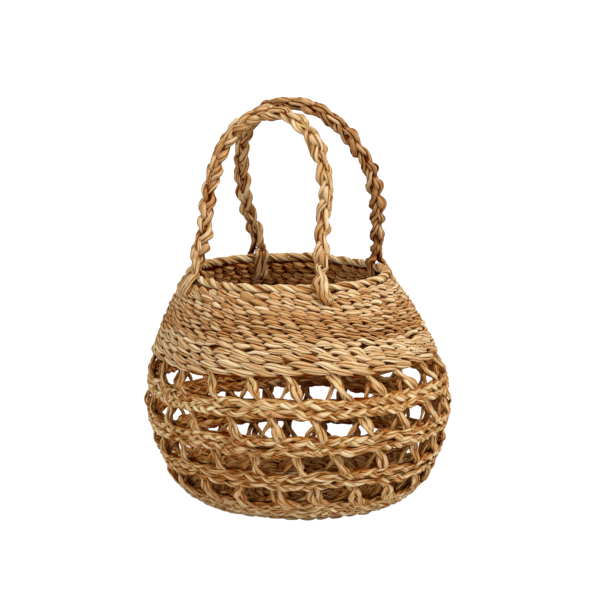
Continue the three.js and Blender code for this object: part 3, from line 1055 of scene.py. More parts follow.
@dataclass(frozen=True)
class Plait:
    """Three-strand handle: an arch in a plane that leans in over the mouth.

    azimuth is the direction of the plane from the middle of the mouth, half_span how far to each side
    of it a foot stands, and lean how far it leans in, all in degrees. rise is the height of the arch,
    left_width and right_width how far its halves reach, and rounds how many turns the strands make.
    turn_left and turn_right are how far the flat of the plait is turned on each leg, in degrees.
    haste is how much closer the strands cross on the left than on average, point how far each turn
    of a strand is drawn out to a point, and tone how pale its leaves are, lower on the back plait as
    painted shade. swing and weave are how far a strand moves across the plait and through it.
    """

    name: str
    seed: int
    azimuth: float
    half_span: float
    rise: float
    left_width: float
    right_width: float
    lean: float
    rounds: int
    turn_left: float
    turn_right: float
    left_legs: tuple[Leg, ...]
    right_legs: tuple[Leg, ...]
    haste: float = 0.0
    point: float = 0.04
    tone: float = 0.52
    swing: float = 3.9
    weave: float = 2.3
    strand_width: float = 3.5
    strand_thickness: float = 2.7

    # A half is widest at WIDEST of the rise, and the others place the corners of its two curves.
    WIDEST = 0.41
    KNEE_OUT = 0.6
    KNEE_UP = 0.4
    KNEE_END = 0.6
    FULLNESS = 0.57
    SAMPLES = 40

    def _cubic(self, *corners: tuple[float, float]) -> np.ndarray:
        """Points of the cubic curve of Bezier with four corners."""
        t = np.linspace(0.0, 1.0, self.SAMPLES)[:, None]
        a, b, c, d = (np.array(corner, dtype=float) for corner in corners)
        return (1 - t) ** 3 * a + 3 * (1 - t) ** 2 * t * b + 3 * (1 - t) * t**2 * c + t**3 * d

    def _half(self, foot: float, width: float) -> np.ndarray:
        """Half of the arch, from a foot to the crown, as two cubic curves.

        Args:
            foot: Distance of the foot from the middle.
            width: How far the half reaches out.

        Returns:
            Distance from the middle and height of each point.
        """
        high = self.rise * self.WIDEST
        knee = (foot + (width - foot) * self.KNEE_OUT, high * self.KNEE_UP)
        lower = self._cubic((foot, 0.0), knee, (width, high * self.KNEE_END), (width, high))
        brow = (width, high + (self.rise - high) * self.FULLNESS)
        upper = self._cubic((width, high), brow, (width * self.FULLNESS, self.rise), (0.0, self.rise))
        return np.vstack((lower[:-1], upper))

    def arch(self, foot: float) -> np.ndarray:
        """Middle line of the arch in its own plane, from the left foot to the right one."""
        left, right = self._half(foot, self.left_width), self._half(foot, self.right_width)
        return np.vstack((left * (-1.0, 1.0), right[-2::-1]))


FRONT_PLAIT = Plait(
    name="front",
    seed=5,
    azimuth=-89.0,
    half_span=42.0,
    rise=152.5,
    left_width=60.5,
    right_width=63.5,
    lean=15.0,
    rounds=7,
    turn_left=20.0,
    turn_right=-20.0,
    left_legs=(
        Leg(-1, 1.0, 0.0, 8.0, 3.0),
        Leg(1, -4.5, -5.5, 7.5, 2.6),
        Leg(1, 4.0, 3.5, 8.0, 3.0),
        Leg(1, 9.0, 8.0, 8.0, 2.4),
        Leg(1, 0.0, -1.0, 9.0, 2.6),
    ),
    right_legs=(
        Leg(-1, 0.5, 0.0, 8.0, 3.0),
        Leg(1, -4.4, 1.5, 7.0, 3.2),
        Leg(1, 3.4, 8.0, 3.8, 3.6),
        Leg(1, 0.4, 4.6, 5.5, 3.2),
    ),
    haste=0.15,
)
BACK_PLAIT = Plait(
    name="back",
    seed=4,
    azimuth=91.0,
    half_span=42.0,
    rise=168.0,
    left_width=76.0,
    right_width=70.0,
    lean=24.0,
    rounds=7,
    turn_left=40.0,
    turn_right=-20.0,
    left_legs=(
        Leg(-1, -1.5, -2.5, 10.0, 3.8),
        Leg(1, -3.5, -2.0, 8.0, 2.6),
        Leg(1, 2.0, 1.0, 9.0, 3.0),
        Leg(-1, 4.5, 3.0, 7.0, 2.4),
    ),
    right_legs=(
        Leg(-1, 2.0, 2.5, 10.0, 4.2),
        Leg(1, 6.8, 8.0, 5.0, 3.4),
        Leg(1, -5.0, -5.0, 5.0, 2.9),
        Leg(-1, -4.6, -5.0, 9.0, 3.1),
    ),
    point=0.0,
    # Darker leaves than the front plait's, as painted shade on the back handle.
    tone=0.4,
)


class Handle:
    """Builds a plait and its feet on the rim."""

    # Over the rim a leg passes at these degrees above the level and distances from the rope's middle,
    # and down the wall at these shares of its drop and distances from the wall.
    OVER_RIM = ((62.0, 7.6), (24.0, 7.8))
    DOWN_WALL = ((0.25, 2.4), (0.6, 2.3), (0.9, 1.2), (1.08, -2.4))
    RIM_THICKNESS = 2.5
    WALL_THICKNESS = 2.4
    TIP_THICKNESS = 1.4
    NARROW_START = 0.8
    NARROW_WIDTH = 0.7
    UNDER_RIM = 2.0
    CORE_DEPTH = 3.0
    WALL_RADIUS = 108.0

    # Distances along the middle line of the arch, and how far a strand swells at knots and sides.
    ARCH_MARGIN = 2.0
    ARCH_STATION = 3.0
    STATION = 1.35
    KNOT_SWELL = 0.1
    SIDE_SWELL = 0.1
    BEAT_JITTER = Jitter(0.25, 16.0)
    SWING_JITTER = Jitter(0.18, 17.0)
    CENTRE_JITTER = Jitter(0.8, 26.0)
    WIDTH_JITTER = Jitter(0.2, 8.0)
    STRAND_SEEDS = 17

    # Leaf tips on each strand, away from its ends, and how they start.
    TIPS = 5
    TIP_MARGIN = 30
    TIP_ROOT = 1.6
    TIP_FACING = 0.5

    # Legs from FIRST_EXTRA on start inside the plait, at these stations of its first strand.
    FIRST_EXTRA = 3
    EXTRA_STATIONS = (9, 5, 2)
    TAPER_START = 0.3
    TAPER_STATIONS = 12.0

    def __init__(self, plait: Plait, rim: Rim, meridian: Meridian, hinge_height: float) -> None:
        """Places the plane of the arch.

        Args:
            plait: Shape of the handle.
            rim: Rope that it stands on.
            meridian: Line of the wall under the rim.
            hinge_height: Height of the axis that the handle swings on.
        """
        self.plait = plait
        self.rim = rim
        self.meridian = meridian
        self.bundle = Bundle(crease=0.45, turn=0.1, unevenness=0.6, ruffle=0.38, tone=plait.tone)
        azimuth = math.radians(plait.azimuth)
        lean = math.radians(plait.lean)
        out = np.array((math.cos(azimuth), math.sin(azimuth), 0.0))
        self.side = np.array((-math.sin(azimuth), math.cos(azimuth), 0.0))
        self.rise = UPRIGHT * math.cos(lean) - out * math.sin(lean)
        self.face = np.cross(self.side, self.rise)
        chord = rim.radius * math.cos(math.radians(plait.half_span))
        self.origin = np.array((rim.centre[0], rim.centre[1], 0.0)) + chord * out
        self.origin[2] = hinge_height

    def _leg_rows(self, leg: Leg, end: int) -> np.ndarray:
        """Control rows of one leg, from over the rim to its hidden tip.

        Args:
            leg: Shape of the leg.
            end: -1 on the left foot of the handle and 1 on the right one.

        Returns:
            Rows of a point, the direction that the flat of the strand looks in, its half thickness
            and half width, and the middle of the bundle that it belongs to.
        """
        azimuth = math.radians(self.plait.azimuth + end * self.plait.half_span)
        radial = np.array((math.cos(azimuth), math.sin(azimuth), 0.0))
        along = np.array((-math.sin(azimuth), math.cos(azimuth), 0.0))
        centre = np.array(self.rim.centre) + self.rim.radius * radial
        rows = []
        for turn, reach in self.OVER_RIM:
            angle = math.radians(turn)
            face = leg.side * math.cos(angle) * radial + math.sin(angle) * UPRIGHT
            point = centre + reach * face + leg.top * along
            core = point - self.CORE_DEPTH * face
            rows.append((*point, *face, self.RIM_THICKNESS, leg.half_width, *core))
        for share, rise in self.DOWN_WALL:
            aside = leg.top + (leg.bottom - leg.top) * share
            length = np.array([self.meridian.end - self.UNDER_RIM - share * leg.drop])
            turned = np.array([azimuth + aside / self.WALL_RADIUS])
            depth = rise if leg.side > 0 else -2.0 * Meridian.WALL_MIDDLE - rise
            point = self.meridian.place(turned, length, np.array([depth]))[0]
            face = leg.side * self.meridian.outward(turned, length)[0]
            thickness = self.WALL_THICKNESS if share < 1.0 else self.TIP_THICKNESS
            width = leg.half_width * (1.0 if share < self.NARROW_START else self.NARROW_WIDTH)
            rows.append((*point, *face, thickness, width, *(point - self.CORE_DEPTH * face)))
        return np.array(rows)

    def _arch_rows(self, strand: int) -> np.ndarray:
        """Control rows of one strand of the plait.

        With turn p the strand lies swing times (sin p less point times sin 3p) across and weave times
        sin 2p through the plait, and the three strands are a third of a turn apart. The plait turns
        slowly about its own line, from turn_left to turn_right. A cosine makes it wider at each knot
        and narrower between two.

        Args:
            strand: Number of the strand, from 0 to 2.

        Returns:
            Rows like those of a leg.
        """
        plait = self.plait
        line = plait.arch(self.rim.radius * math.sin(math.radians(plait.half_span)))
        lengths = travel(line)
        stations = round(lengths[-1] / self.ARCH_STATION)
        places = np.linspace(self.ARCH_MARGIN, lengths[-1] - self.ARCH_MARGIN, stations)
        flat = np.column_stack([np.interp(places, lengths, column) for column in line.T])
        slope = unit(np.gradient(flat, axis=0))
        across = -slope[:, 1:] * self.side + slope[:, :1] * self.rise
        walked = places / lengths[-1]
        turned = plait.turn_left + (plait.turn_right - plait.turn_left) * smooth(walked)
        turned = np.radians(turned)[:, None]
        wide = np.cos(turned) * across + np.sin(turned) * self.face
        through = np.cos(turned) * self.face - np.sin(turned) * across
        rng = np.random.default_rng(SEED + self.STRAND_SEEDS * (plait.seed + strand))
        walked = walked + plait.haste * walked * (1.0 - walked)
        beat = FULL_TURN * (plait.rounds * walked + strand / 3.0)
        beat = beat + self.BEAT_JITTER.on(places, rng)
        knot = self.KNOT_SWELL * np.cos(FULL_TURN * 3.0 * plait.rounds * walked)
        swing = plait.swing * (1.0 + knot + self.SWING_JITTER.on(places, rng))
        shared_rng = np.random.default_rng(SEED + plait.seed)
        centre = self.origin + flat[:, :1] * self.side + flat[:, 1:] * self.rise
        centre = centre + self.CENTRE_JITTER.on(places, shared_rng)[:, None] * across
        wave = np.sin(beat) - plait.point * np.sin(3.0 * beat)
        points = centre + (swing * wave)[:, None] * wide
        points = points + (plait.weave * np.sin(2.0 * beat))[:, None] * through
        swell = 1.0 + self.SIDE_SWELL * np.abs(np.sin(beat)) + knot + self.WIDTH_JITTER.on(places, rng)
        sizes = (plait.strand_thickness * swell, plait.strand_width * swell)
        return np.column_stack((points, through, *sizes, centre))

    def _strand(self, rows: np.ndarray, taper: np.ndarray, rng: np.random.Generator) -> Tube:
        """Sweeps one strand of the handle along its rows.

        Args:
            rows: Rows like those of a leg.
            taper: Share of its full size at each row.
            rng: Source of the random values.

        Returns:
            The strand.
        """
        shade = Shade(rows[:, 8:], flank=0.45, rear=0.0, radial=True, start=1.4)
        sizes = (rows[:, 6] * taper, rows[:, 7] * taper)
        return sweep(rows[:, :3], rows[:, 3:6], *sizes, self.bundle, rng, shade=shade)

    def strands(self, rng: np.random.Generator) -> list[Tube]:
        """Builds the strands of the plait with their legs, and the legs that start inside the plait.

        Args:
            rng: Source of the random values.

        Returns:
            The strands, and the leaf tips that stick out of them.
        """
        tubes = []
        left, right = self.plait.left_legs, self.plait.right_legs
        arches = [self._arch_rows(strand) for strand in range(3)]
        for strand, arch in enumerate(arches):
            start = self._leg_rows(left[strand], -1)[::-1]
            end = self._leg_rows(right[strand], 1)
            rows = spline(np.vstack((start, arch[1:-1], end)), self.STATION)
            tubes.append(self._strand(rows, np.ones(len(rows)), rng))
            for station in rng.integers(self.TIP_MARGIN, len(rows) - self.TIP_MARGIN, self.TIPS):
                point, face, core = rows[station, :3], rows[station, 3:6], rows[station, 8:]
                along = unit(rows[station + 1, :3] - rows[station - 1, :3])
                away = unit(point - core + self.TIP_FACING * face)
                tubes.append(LeafTip().strand(point + self.TIP_ROOT * away, along, away, rng))
        for end, legs in ((-1, left), (1, right)):
            stations = [number if end < 0 else -1 - number for number in self.EXTRA_STATIONS]
            for leg in legs[self.FIRST_EXTRA :]:
                rows = spline(np.vstack((arches[0][stations], self._leg_rows(leg, end))), self.STATION)
                taper = np.minimum(1.0, self.TAPER_START + np.arange(len(rows)) / self.TAPER_STATIONS)
                tubes.append(self._strand(rows, taper, rng))
        return tubes


@dataclass(frozen=True)
class Grain:
    """Noise of the leaf: its changes in a millimetre along and across the fibre, and its detail."""

    along: float
    across: float
    detail: float


class DriedLeaf:
    """Shader group that colours dried leaf strips from the values that a strand carries.

    Long thin noise along the fibre gives streaks, wide noise gives patches, and the tone picks between
    a deep, a middle and a pale straw colour. Painted shade in the clefts, the creases and on faces that
    look into the basket raises the colour to a power and tints it, which darkens and reddens it as light
    does that is thrown from leaf to leaf. The leaf's own dark lines raise the power too. A pair of values
    is the factor and the amount added that turn a leaf's paleness into the share of a paler colour.
    """

    STREAKS = Grain(0.05, 1.4, 4.0)
    HAIRS = Grain(0.09, 4.0, 2.0)
    PATCHES = Grain(0.03, 0.12, 2.0)
    LINES = Grain(0.03, 1.2, 1.0)
    NOISE_ROUGHNESS = 0.6
    STREAK_WEIGHT = 0.65
    PATCH_WEIGHT = 0.3
    PALENESS_SHIFT = -0.475
    DEEP_TO_MIDDLE = (2.6, -0.2)
    MIDDLE_TO_PALE = (2.2, -0.9)
    # Painted shade on faces that look into the basket draws their colour this far towards the middle one.
    INNER_SHADE_MIDDLE = 0.45
    LINE_START = 0.44
    LINE_END = 0.36
    BASE_POWER = 0.99
    LINE_POWER = 0.55
    # Painted shade: powers for the creases, the clefts and the faces that look into the basket, a warm tint
    # and a gain.
    CREASE_SHADE_POWER = 1.6
    CREASE_SHARPNESS = 1.5
    SHADE_POWER = 2.1
    INNER_SHADE_POWER = 0.5
    SHADE_TINT = (1.0, 0.7, 0.36, 1.0)
    INNER_SHADE_GAIN = 0.35
    STREAK_RELIEF = 0.65
    HAIR_RELIEF = 0.35

    def __init__(self) -> None:
        """Makes the group."""
        self.tree = bpy.data.node_groups.new("DriedLeaf", "ShaderNodeTree")
        interface = self.tree.interface
        for label in ("Deep", "Middle", "Pale"):
            interface.new_socket(label, in_out="INPUT", socket_type="NodeSocketColor")
        interface.new_socket("Colour", in_out="OUTPUT", socket_type="NodeSocketColor")
        interface.new_socket("Height", in_out="OUTPUT", socket_type="NodeSocketFloat")
        self._given = self.tree.nodes.new("NodeGroupInput")
        self._fibre = self._attribute("fibre", "Vector")
        self._painted_shade = self._attribute("painted_shade", "Fac")
        self._inner_shade = self._attribute("inside", "Fac")
        streaks = self._noise(self.STREAKS)
        colour = self._shaded(self._leaf_colour(streaks))
        height = self._weigh(streaks, self.STREAK_RELIEF, 0.0)
        height = self._weigh(self._noise(self.HAIRS), self.HAIR_RELIEF, height)
        result = self.tree.nodes.new("NodeGroupOutput")
        self.tree.links.new(colour, result.inputs["Colour"])
        self.tree.links.new(height, result.inputs["Height"])

    def _attribute(self, name: str, output: str) -> bpy.types.NodeSocket:
        """One of the values that the mesh of a strand holds.

        Args:
            name: Name of the value.
            output: Name of the socket that gives it.

        Returns:
            The socket.
        """
        node = self.tree.nodes.new("ShaderNodeAttribute")
        node.attribute_name = name
        return node.outputs[output]

    def _noise(self, grain: Grain) -> bpy.types.NodeSocket:
        """Noise that is stretched along the fibre.

        Args:
            grain: Scale and detail of the noise.

        Returns:
            Socket of its value, from 0 to 1.
        """
        scaled = self.tree.nodes.new("ShaderNodeVectorMath")
        scaled.operation = "MULTIPLY"
        scaled.inputs[1].default_value = (grain.along, grain.across, grain.across)
        self.tree.links.new(self._fibre, scaled.inputs[0])
        node = self.tree.nodes.new("ShaderNodeTexNoise")
        node.inputs["Scale"].default_value = 1.0
        node.inputs["Detail"].default_value = grain.detail
        node.inputs["Roughness"].default_value = self.NOISE_ROUGHNESS
        self.tree.links.new(scaled.outputs[0], node.inputs["Vector"])
        return node.outputs["Fac"]

    def _weigh(
        self, value: bpy.types.NodeSocket, factor: float, added: bpy.types.NodeSocket | float
    ) -> bpy.types.NodeSocket:
        """Value times a factor, plus a number or another value.

        Args:
            value: Socket of the value.
            factor: Number that it is multiplied by.
            added: Number or socket that is added.

        Returns:
            Socket of the sum.
        """
        node = self.tree.nodes.new("ShaderNodeMath")
        node.operation = "MULTIPLY_ADD"
        self.tree.links.new(value, node.inputs[0])
        node.inputs[1].default_value = factor
        if isinstance(added, float):
            node.inputs[2].default_value = added
        else:
            self.tree.links.new(added, node.inputs[2])
        return node.outputs[0]

    def _mix(
        self, factor: bpy.types.NodeSocket, first: bpy.types.NodeSocket, second: bpy.types.NodeSocket
    ) -> bpy.types.NodeSocket:
        """Mixes two colours.

        Args:
            factor: Share of the second colour, clipped to 0..1.
            first: Socket of the first colour.
            second: Socket of the second colour.

        Returns:
            Socket of the mixed colour.
        """
        node = self.tree.nodes.new("ShaderNodeMix")
        node.data_type = "RGBA"
        node.clamp_factor = True
        self.tree.links.new(factor, node.inputs["Factor"])
        self.tree.links.new(first, node.inputs["A"])
        self.tree.links.new(second, node.inputs["B"])
        return node.outputs["Result"]

    def _leaf_colour(self, streaks: bpy.types.NodeSocket) -> bpy.types.NodeSocket:
        """Colour of the leaf in even light, calmer with painted shade where it looks into the basket.

        Args:
            streaks: Socket of the streaks.

        Returns:
            Socket of the colour.
        """
        paleness = self._weigh(streaks, self.STREAK_WEIGHT, self.PALENESS_SHIFT)
        paleness = self._weigh(self._noise(self.PATCHES), self.PATCH_WEIGHT, paleness)
        paleness = self._weigh(self._attribute("tone", "Fac"), 1.0, paleness)
        deep_to_middle = self._weigh(paleness, *self.DEEP_TO_MIDDLE)
        middle_to_pale = self._weigh(paleness, *self.MIDDLE_TO_PALE)
        deep, middle, pale = (self._given.outputs[label] for label in ("Deep", "Middle", "Pale"))
        colour = self._mix(deep_to_middle, deep, middle)
        colour = self._mix(middle_to_pale, colour, pale)
        return self._mix(self._weigh(self._inner_shade, self.INNER_SHADE_MIDDLE, 0.0), colour, middle)

    def _power(self) -> bpy.types.NodeSocket:
        """Power that the colour is raised to: painted shade in clefts, creases and inner faces, and dark
        lines.

        Returns:
            Socket of the power.
        """
        crease = self.tree.nodes.new("ShaderNodeMath")
        crease.operation = "POWER"
        crease.inputs[1].default_value = self.CREASE_SHARPNESS
        self.tree.links.new(self._attribute("crease", "Fac"), crease.inputs[0])
        lines = self.tree.nodes.new("ShaderNodeMapRange")
        lines.inputs["From Min"].default_value = self.LINE_START
        lines.inputs["From Max"].default_value = self.LINE_END
        lines.inputs["To Max"].default_value = self.LINE_POWER
        self.tree.links.new(self._noise(self.LINES), lines.inputs["Value"])
        power = self._weigh(crease.outputs[0], self.CREASE_SHADE_POWER, self.BASE_POWER)
        power = self._weigh(self._painted_shade, self.SHADE_POWER, power)
        power = self._weigh(lines.outputs["Result"], 1.0, power)
        return self._weigh(self._inner_shade, self.INNER_SHADE_POWER, power)

    def _shaded(self, colour: bpy.types.NodeSocket) -> bpy.types.NodeSocket:
        """Colour of the leaf with painted shade, for the light that reaches it between its neighbours.

        Args:
            colour: Socket of the colour in even light.

        Returns:
            Socket of the darker and redder colour.
        """
        depth = self.tree.nodes.new("ShaderNodeGamma")
        self.tree.links.new(colour, depth.inputs["Color"])
        self.tree.links.new(self._power(), depth.inputs["Gamma"])
        tint = self.tree.nodes.new("ShaderNodeMix")
        tint.data_type, tint.blend_type = "RGBA", "MULTIPLY"
        tint.inputs["B"].default_value = self.SHADE_TINT
        self.tree.links.new(self._painted_shade, tint.inputs["Factor"])
        self.tree.links.new(depth.outputs["Color"], tint.inputs["A"])
        warm = self.tree.nodes.new("ShaderNodeVectorMath")
        warm.operation = "SCALE"
        self.tree.links.new(tint.outputs["Result"], warm.inputs[0])
        self.tree.links.new(self._weigh(self._inner_shade, self.INNER_SHADE_GAIN, 1.0), warm.inputs["Scale"])
        return warm.outputs[0]


def linear(code: str) -> tuple[float, float, float, float]:
    """Turns a hexadecimal colour code into linear red, green, blue and alpha."""
    parts = [int(code[i : i + 2], 16) / 255.0 for i in (0, 2, 4)]
    scene = [part / 12.92 if part <= 0.04045 else ((part + 0.055) / 1.055) ** 2.4 for part in parts]
    return (*scene, 1.0)


@dataclass(frozen=True)
class StrawFinish:
    """Finish of dried leaf: the colours of its deepest, middle and palest leaves, and its relief."""

    name: str
    deep: str
    middle: str
    pale: str
    roughness: float = 0.62
    relief: float = 0.55
    relief_depth: float = 0.35

    def material(self, leaf: DriedLeaf) -> bpy.types.Material:
        """Makes the material.

        Args:
            leaf: Shader group that colours it.

        Returns:
            The material.
        """
        material = bpy.data.materials.new(self.name)
        material.use_nodes = True
        nodes, links = material.node_tree.nodes, material.node_tree.links
        shader = nodes["Principled BSDF"]
        group = nodes.new("ShaderNodeGroup")
        group.node_tree = leaf.tree
        for label, code in (("Deep", self.deep), ("Middle", self.middle), ("Pale", self.pale)):
            group.inputs[label].default_value = linear(code)
        bump = nodes.new("ShaderNodeBump")
        bump.inputs["Strength"].default_value = self.relief
        bump.inputs["Distance"].default_value = self.relief_depth * MM
        links.new(group.outputs["Height"], bump.inputs["Height"])
        links.new(group.outputs["Colour"], shader.inputs["Base Color"])
        links.new(bump.outputs["Normal"], shader.inputs["Normal"])
        shader.inputs["Roughness"].default_value = self.roughness
        shader.inputs["Specular IOR Level"].default_value = 0.0
        return material


class Basket:
    """The whole basket, piece by piece."""

    FINISHES = {
        Slot.WEFT: StrawFinish("SeagrassWeft", "976433", "b88d5c", "e2d5b2"),
        Slot.STAKE: StrawFinish("SeagrassStake", "935f30", "b48856", "decfa6"),
        Slot.PLAIT: StrawFinish("SeagrassPlait", "905d30", "b08759", "dcc9a3"),
    }
    OUTER_DEPTH = 2.6
    INNER_DEPTH = 9.5

    # Each part of the base is a stretch of the meridian with as many rows.
    BASE_STRETCHES = ((-100.4, -46.0), (-46.0, 0.0))
    BASE_ROWS = 7
    BASE_STROKE = 17.0
    BASE_CLIMB = 1.3
    FEWEST_TWISTS = 6

    # The foot has twined rows, and loose rows from FIRST_LOOSE up. Its second part starts at FOOT_SPLIT.
    FOOT_ROWS = 5
    FOOT_DROP = 3.5
    FIRST_LOOSE = 2
    FOOT_SPLIT = 3
    FOOT_TURNS = (17, 22)
    FOOT_BUNDLE = Bundle(tone=0.6, turn=0.06, ruffle=0.4)

    # The rows of a band end these distances below the ends of its solid.
    BAND_NAMES = ("lower", "middle", "upper")
    BAND_ROWS = 2
    BAND_DROPS = (2.0, 3.2)
    BAND_TURNS = (18, 23)
    BAND_BUNDLE = Bundle(tone=0.58, contrast=0.18, turn=0.06, ruffle=0.4)

    # Heights of the shoulder's rows in proportion, and the rows and the tone of each of its parts.
    SHOULDER_ROWS = (6.8, 7.0, 7.1, 7.0, 6.2, 4.9, 4.6, 4.6, 4.7, 4.9, 5.2, 5.8, 6.3, 6.8, 7.2)
    SHOULDER_PARTS = ((0, 5, 0.57), (5, 8, 0.42), (8, 11, 0.42), (11, 15, 0.52))
    SHOULDER_OVERRUN = 3.0
    LOOSE_ROWS = 2
    LOOSE_TWISTS = (36, 38)
    LOOSE_UNREST = 1.1
    COARSE_TWISTS = (44, 46, 48)
    COARSE_CLIMB = 1.6
    COARSE_UNREST = 0.5
    FINE_PITCH = 6.0
    FINE_TWISTS = (52, 54, 56)
    FINE_CLIMB = 1.15

    # All rows of the shoulder wave together, in waves of a size and a count on the way round.
    BOW = ((0.9, 2.0), (0.6, 5.0), (0.35, 9.0))

    # Small gaps stand between the stakes under GAP_ROW, in patches of more and less open weave.
    GAP_ROW = 4
    GAP_PUSH = 3.2
    GAP_PHASE = 2.0
    PATCH_LEVEL = 0.7
    PATCH_SIZE = 0.8
    PATCH_COUNT = 7.0
    PATCH_PHASE = 0.6

    # Leaf tips in each band, from the lowest one up, and in the shoulder.
    BAND_TIPS = (14, 16, 16)
    SHOULDER_TIPS = 44
    TIP_HEADROOM = 4.0
    TIP_DEPTH = 1.8

    RIM_FILLER_HALF_HEIGHT = 5.0
    RIM_FILLER_STATIONS = 361

    # Distances below and above a handle's hinge.
    BEND_BELOW = 5.0
    BEND_ABOVE = 16.0

    def __init__(self) -> None:
        """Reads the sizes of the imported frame."""
        rim_low, rim_high = millimetres(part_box("rim_rope"))
        centre = (rim_low + rim_high) / 2.0
        self.rim = Rim(tuple(centre), (rim_high[0] - rim_low[0] - rim_high[2] + rim_low[2]) / 2.0)
        belly_low, belly_high = millimetres(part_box("middle_band_outer"))
        shoulder_low, shoulder_high = millimetres(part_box("shoulder"))
        outline = Outline((belly_high[0] - belly_low[0]) / 2.0, shoulder_high[2])
        lean = Lean((centre[0], centre[1]), outline.belly_height, centre[2])
        self.meridian = Meridian(outline, lean)
        boxes = [millimetres(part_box(f"{name}_band_outer")) for name in self.BAND_NAMES]
        bands = tuple((low[2], high[2]) for low, high in boxes)
        _, base_high = millimetres(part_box("base"))
        self.levels = Levels(base_high[2], shoulder_low[2], bands)
        self.hinges = {joint["child"]: joint for joint in frame["joints"]}
        leaf = DriedLeaf()
        self.finishes = {slot: finish.material(leaf) for slot, finish in self.FINISHES.items()}

    @staticmethod
    def rng(number: int) -> np.random.Generator:
        """Random source of one piece, so that a change in one leaves the others alone."""
        return np.random.default_rng((SEED, int(number)))

    def settle(self, weave: Weave, slot: Slot, *nodes: str) -> None:
        """Makes a piece with its finish, hangs it on the basket's body and hides the CAD nodes it stands for.

        Args:
            weave: Strands of the piece.
            slot: Its material slot.
            *nodes: CAD nodes that it stands for.
        """
        piece = weave.build(self.finishes[slot])
        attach(piece, "basket")
        if nodes:
            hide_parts(*nodes)

    @staticmethod
    def rows_between(bottom: float, top: float, pitches: Iterable[float]) -> list[tuple[float, float]]:
        """Shares a stretch of the meridian out among rows.

        Args:
            bottom: Length at which the stretch starts.
            top: Length at which it ends.
            pitches: Heights of the rows, in proportion.

        Returns:
            Middle and height of each row.
        """
        heights = np.array(tuple(pitches), dtype=float)
        heights *= (top - bottom) / heights.sum()
        edges = bottom + np.concatenate(([0.0], np.cumsum(heights)))
        return list(zip((edges[:-1] + edges[1:]) / 2.0, heights, strict=True))

    def weave_base(self) -> None:
        """Rounds of the floor, with fewer twists towards the middle."""
        for part, (first, last) in enumerate(self.BASE_STRETCHES):
            weave = Weave(f"base_rounds_{part + 1}")
            rng = self.rng(Source.BASE + part)
            for length, pitch in self.rows_between(first, last, [1.0] * self.BASE_ROWS):
                radius = self.meridian.outline.foot_radius + length
                twists = max(self.FEWEST_TWISTS, 2 * round(math.pi * radius / self.BASE_STROKE))
                phase = rng.uniform(0.0, 6.0)
                row = TwinedRow(length, pitch, half_twists=twists, climb=self.BASE_CLIMB, phase=phase)
                weave.add(*row.strands(self.meridian, rng))
            self.settle(weave, Slot.WEFT, "base")

    def weave_foot(self) -> None:
        """Rows of the wall below the lowest open band."""
        top = self.meridian.length_at(self.levels.foot_top) - self.FOOT_DROP
        rows = self.rows_between(0.0, top, [1.0] * self.FOOT_ROWS)
        for part, chosen in enumerate((rows[: self.FOOT_SPLIT], rows[self.FOOT_SPLIT :])):
            weave = Weave(f"foot_rows_{part + 1}")
            rng = self.rng(Source.FOOT + part)
            for length, pitch in chosen:
                if length < rows[self.FIRST_LOOSE][0]:
                    row = TwinedRow(length, pitch, climb=1.2, phase=rng.uniform(-1.0, 1.0), unrest=0.9)
                    weave.add(*row.strands(self.meridian, rng))
                    continue
                for depth in (self.OUTER_DEPTH, self.INNER_DEPTH):
                    turns, swing = int(rng.integers(*self.FOOT_TURNS)), 0.5 * pitch
                    row = LooseRow(length, depth, turns, swing=swing, filled=True, bundle=self.FOOT_BUNDLE)
                    weave.add(*row.strands(self.meridian, rng))
            self.settle(weave, Slot.WEFT, "base")

    def weave_bands(self) -> None:
        """Two plaited rows on each face of the stakes, between each open band and the next."""
        for number, (name, levels) in enumerate(zip(self.BAND_NAMES, self.levels.bands, strict=True)):
            weave = Weave(f"{name}_band")
            rng = self.rng(Source.BANDS + number)
            drops = zip(levels, self.BAND_DROPS, strict=True)
            ends = [self.meridian.length_at(level - drop) for level, drop in drops]
            for length, _ in self.rows_between(*ends, [1.0] * self.BAND_ROWS):
                for depth in (self.OUTER_DEPTH, self.INNER_DEPTH):
                    turns, inner = int(rng.integers(*self.BAND_TURNS)), depth == self.INNER_DEPTH
                    row = LooseRow(length, depth, turns, filled=inner, bundle=self.BAND_BUNDLE)
                    weave.add(*row.strands(self.meridian, rng))
            self.settle(weave, Slot.WEFT, f"{name}_band_outer", f"{name}_band_inner")

    def _shoulder_row(
        self, index: int, row: tuple[float, float], tone: float, rng: np.random.Generator
    ) -> TwinedRow:
        """Chooses the twist and the strips of one row of the shoulder.

        Args:
            index: Number of the row from the open work up.
            row: Middle and height of the row.
            tone: How pale its leaves are.
            rng: Source of the random values.

        Returns:
            The row.
        """
        length, pitch = row
        loose, fine = index < self.LOOSE_ROWS, pitch < self.FINE_PITCH
        twists = self.LOOSE_TWISTS if loose else self.FINE_TWISTS if fine else self.COARSE_TWISTS
        return TwinedRow(
            length,
            pitch,
            bundle=Bundle(strips=3 if fine else 4, contrast=0.11, tone=tone),
            half_twists=int(rng.choice(twists)),
            climb=self.FINE_CLIMB if fine else self.COARSE_CLIMB,
            unrest=self.LOOSE_UNREST if loose else self.COARSE_UNREST,
            phase=rng.uniform(-0.9, 0.9),
        )

    def weave_shoulder(self) -> None:
        """Dense rows from the open work to the rim, with a line of small gaps a third of the way up."""
        bottom = self.meridian.length_at(self.levels.shoulder_bottom)
        rows = self.rows_between(bottom, self.meridian.end + self.SHOULDER_OVERRUN, self.SHOULDER_ROWS)
        phases = self.rng(Source.SHOULDER_BOW).uniform(0.0, FULL_TURN, len(self.BOW))

        def bow(azimuth: np.ndarray) -> np.ndarray:
            """How far all rows wave up and down together at an azimuth."""
            waves = zip(self.BOW, phases, strict=True)
            return sum(size * np.sin(count * azimuth + phase) for (size, count), phase in waves)

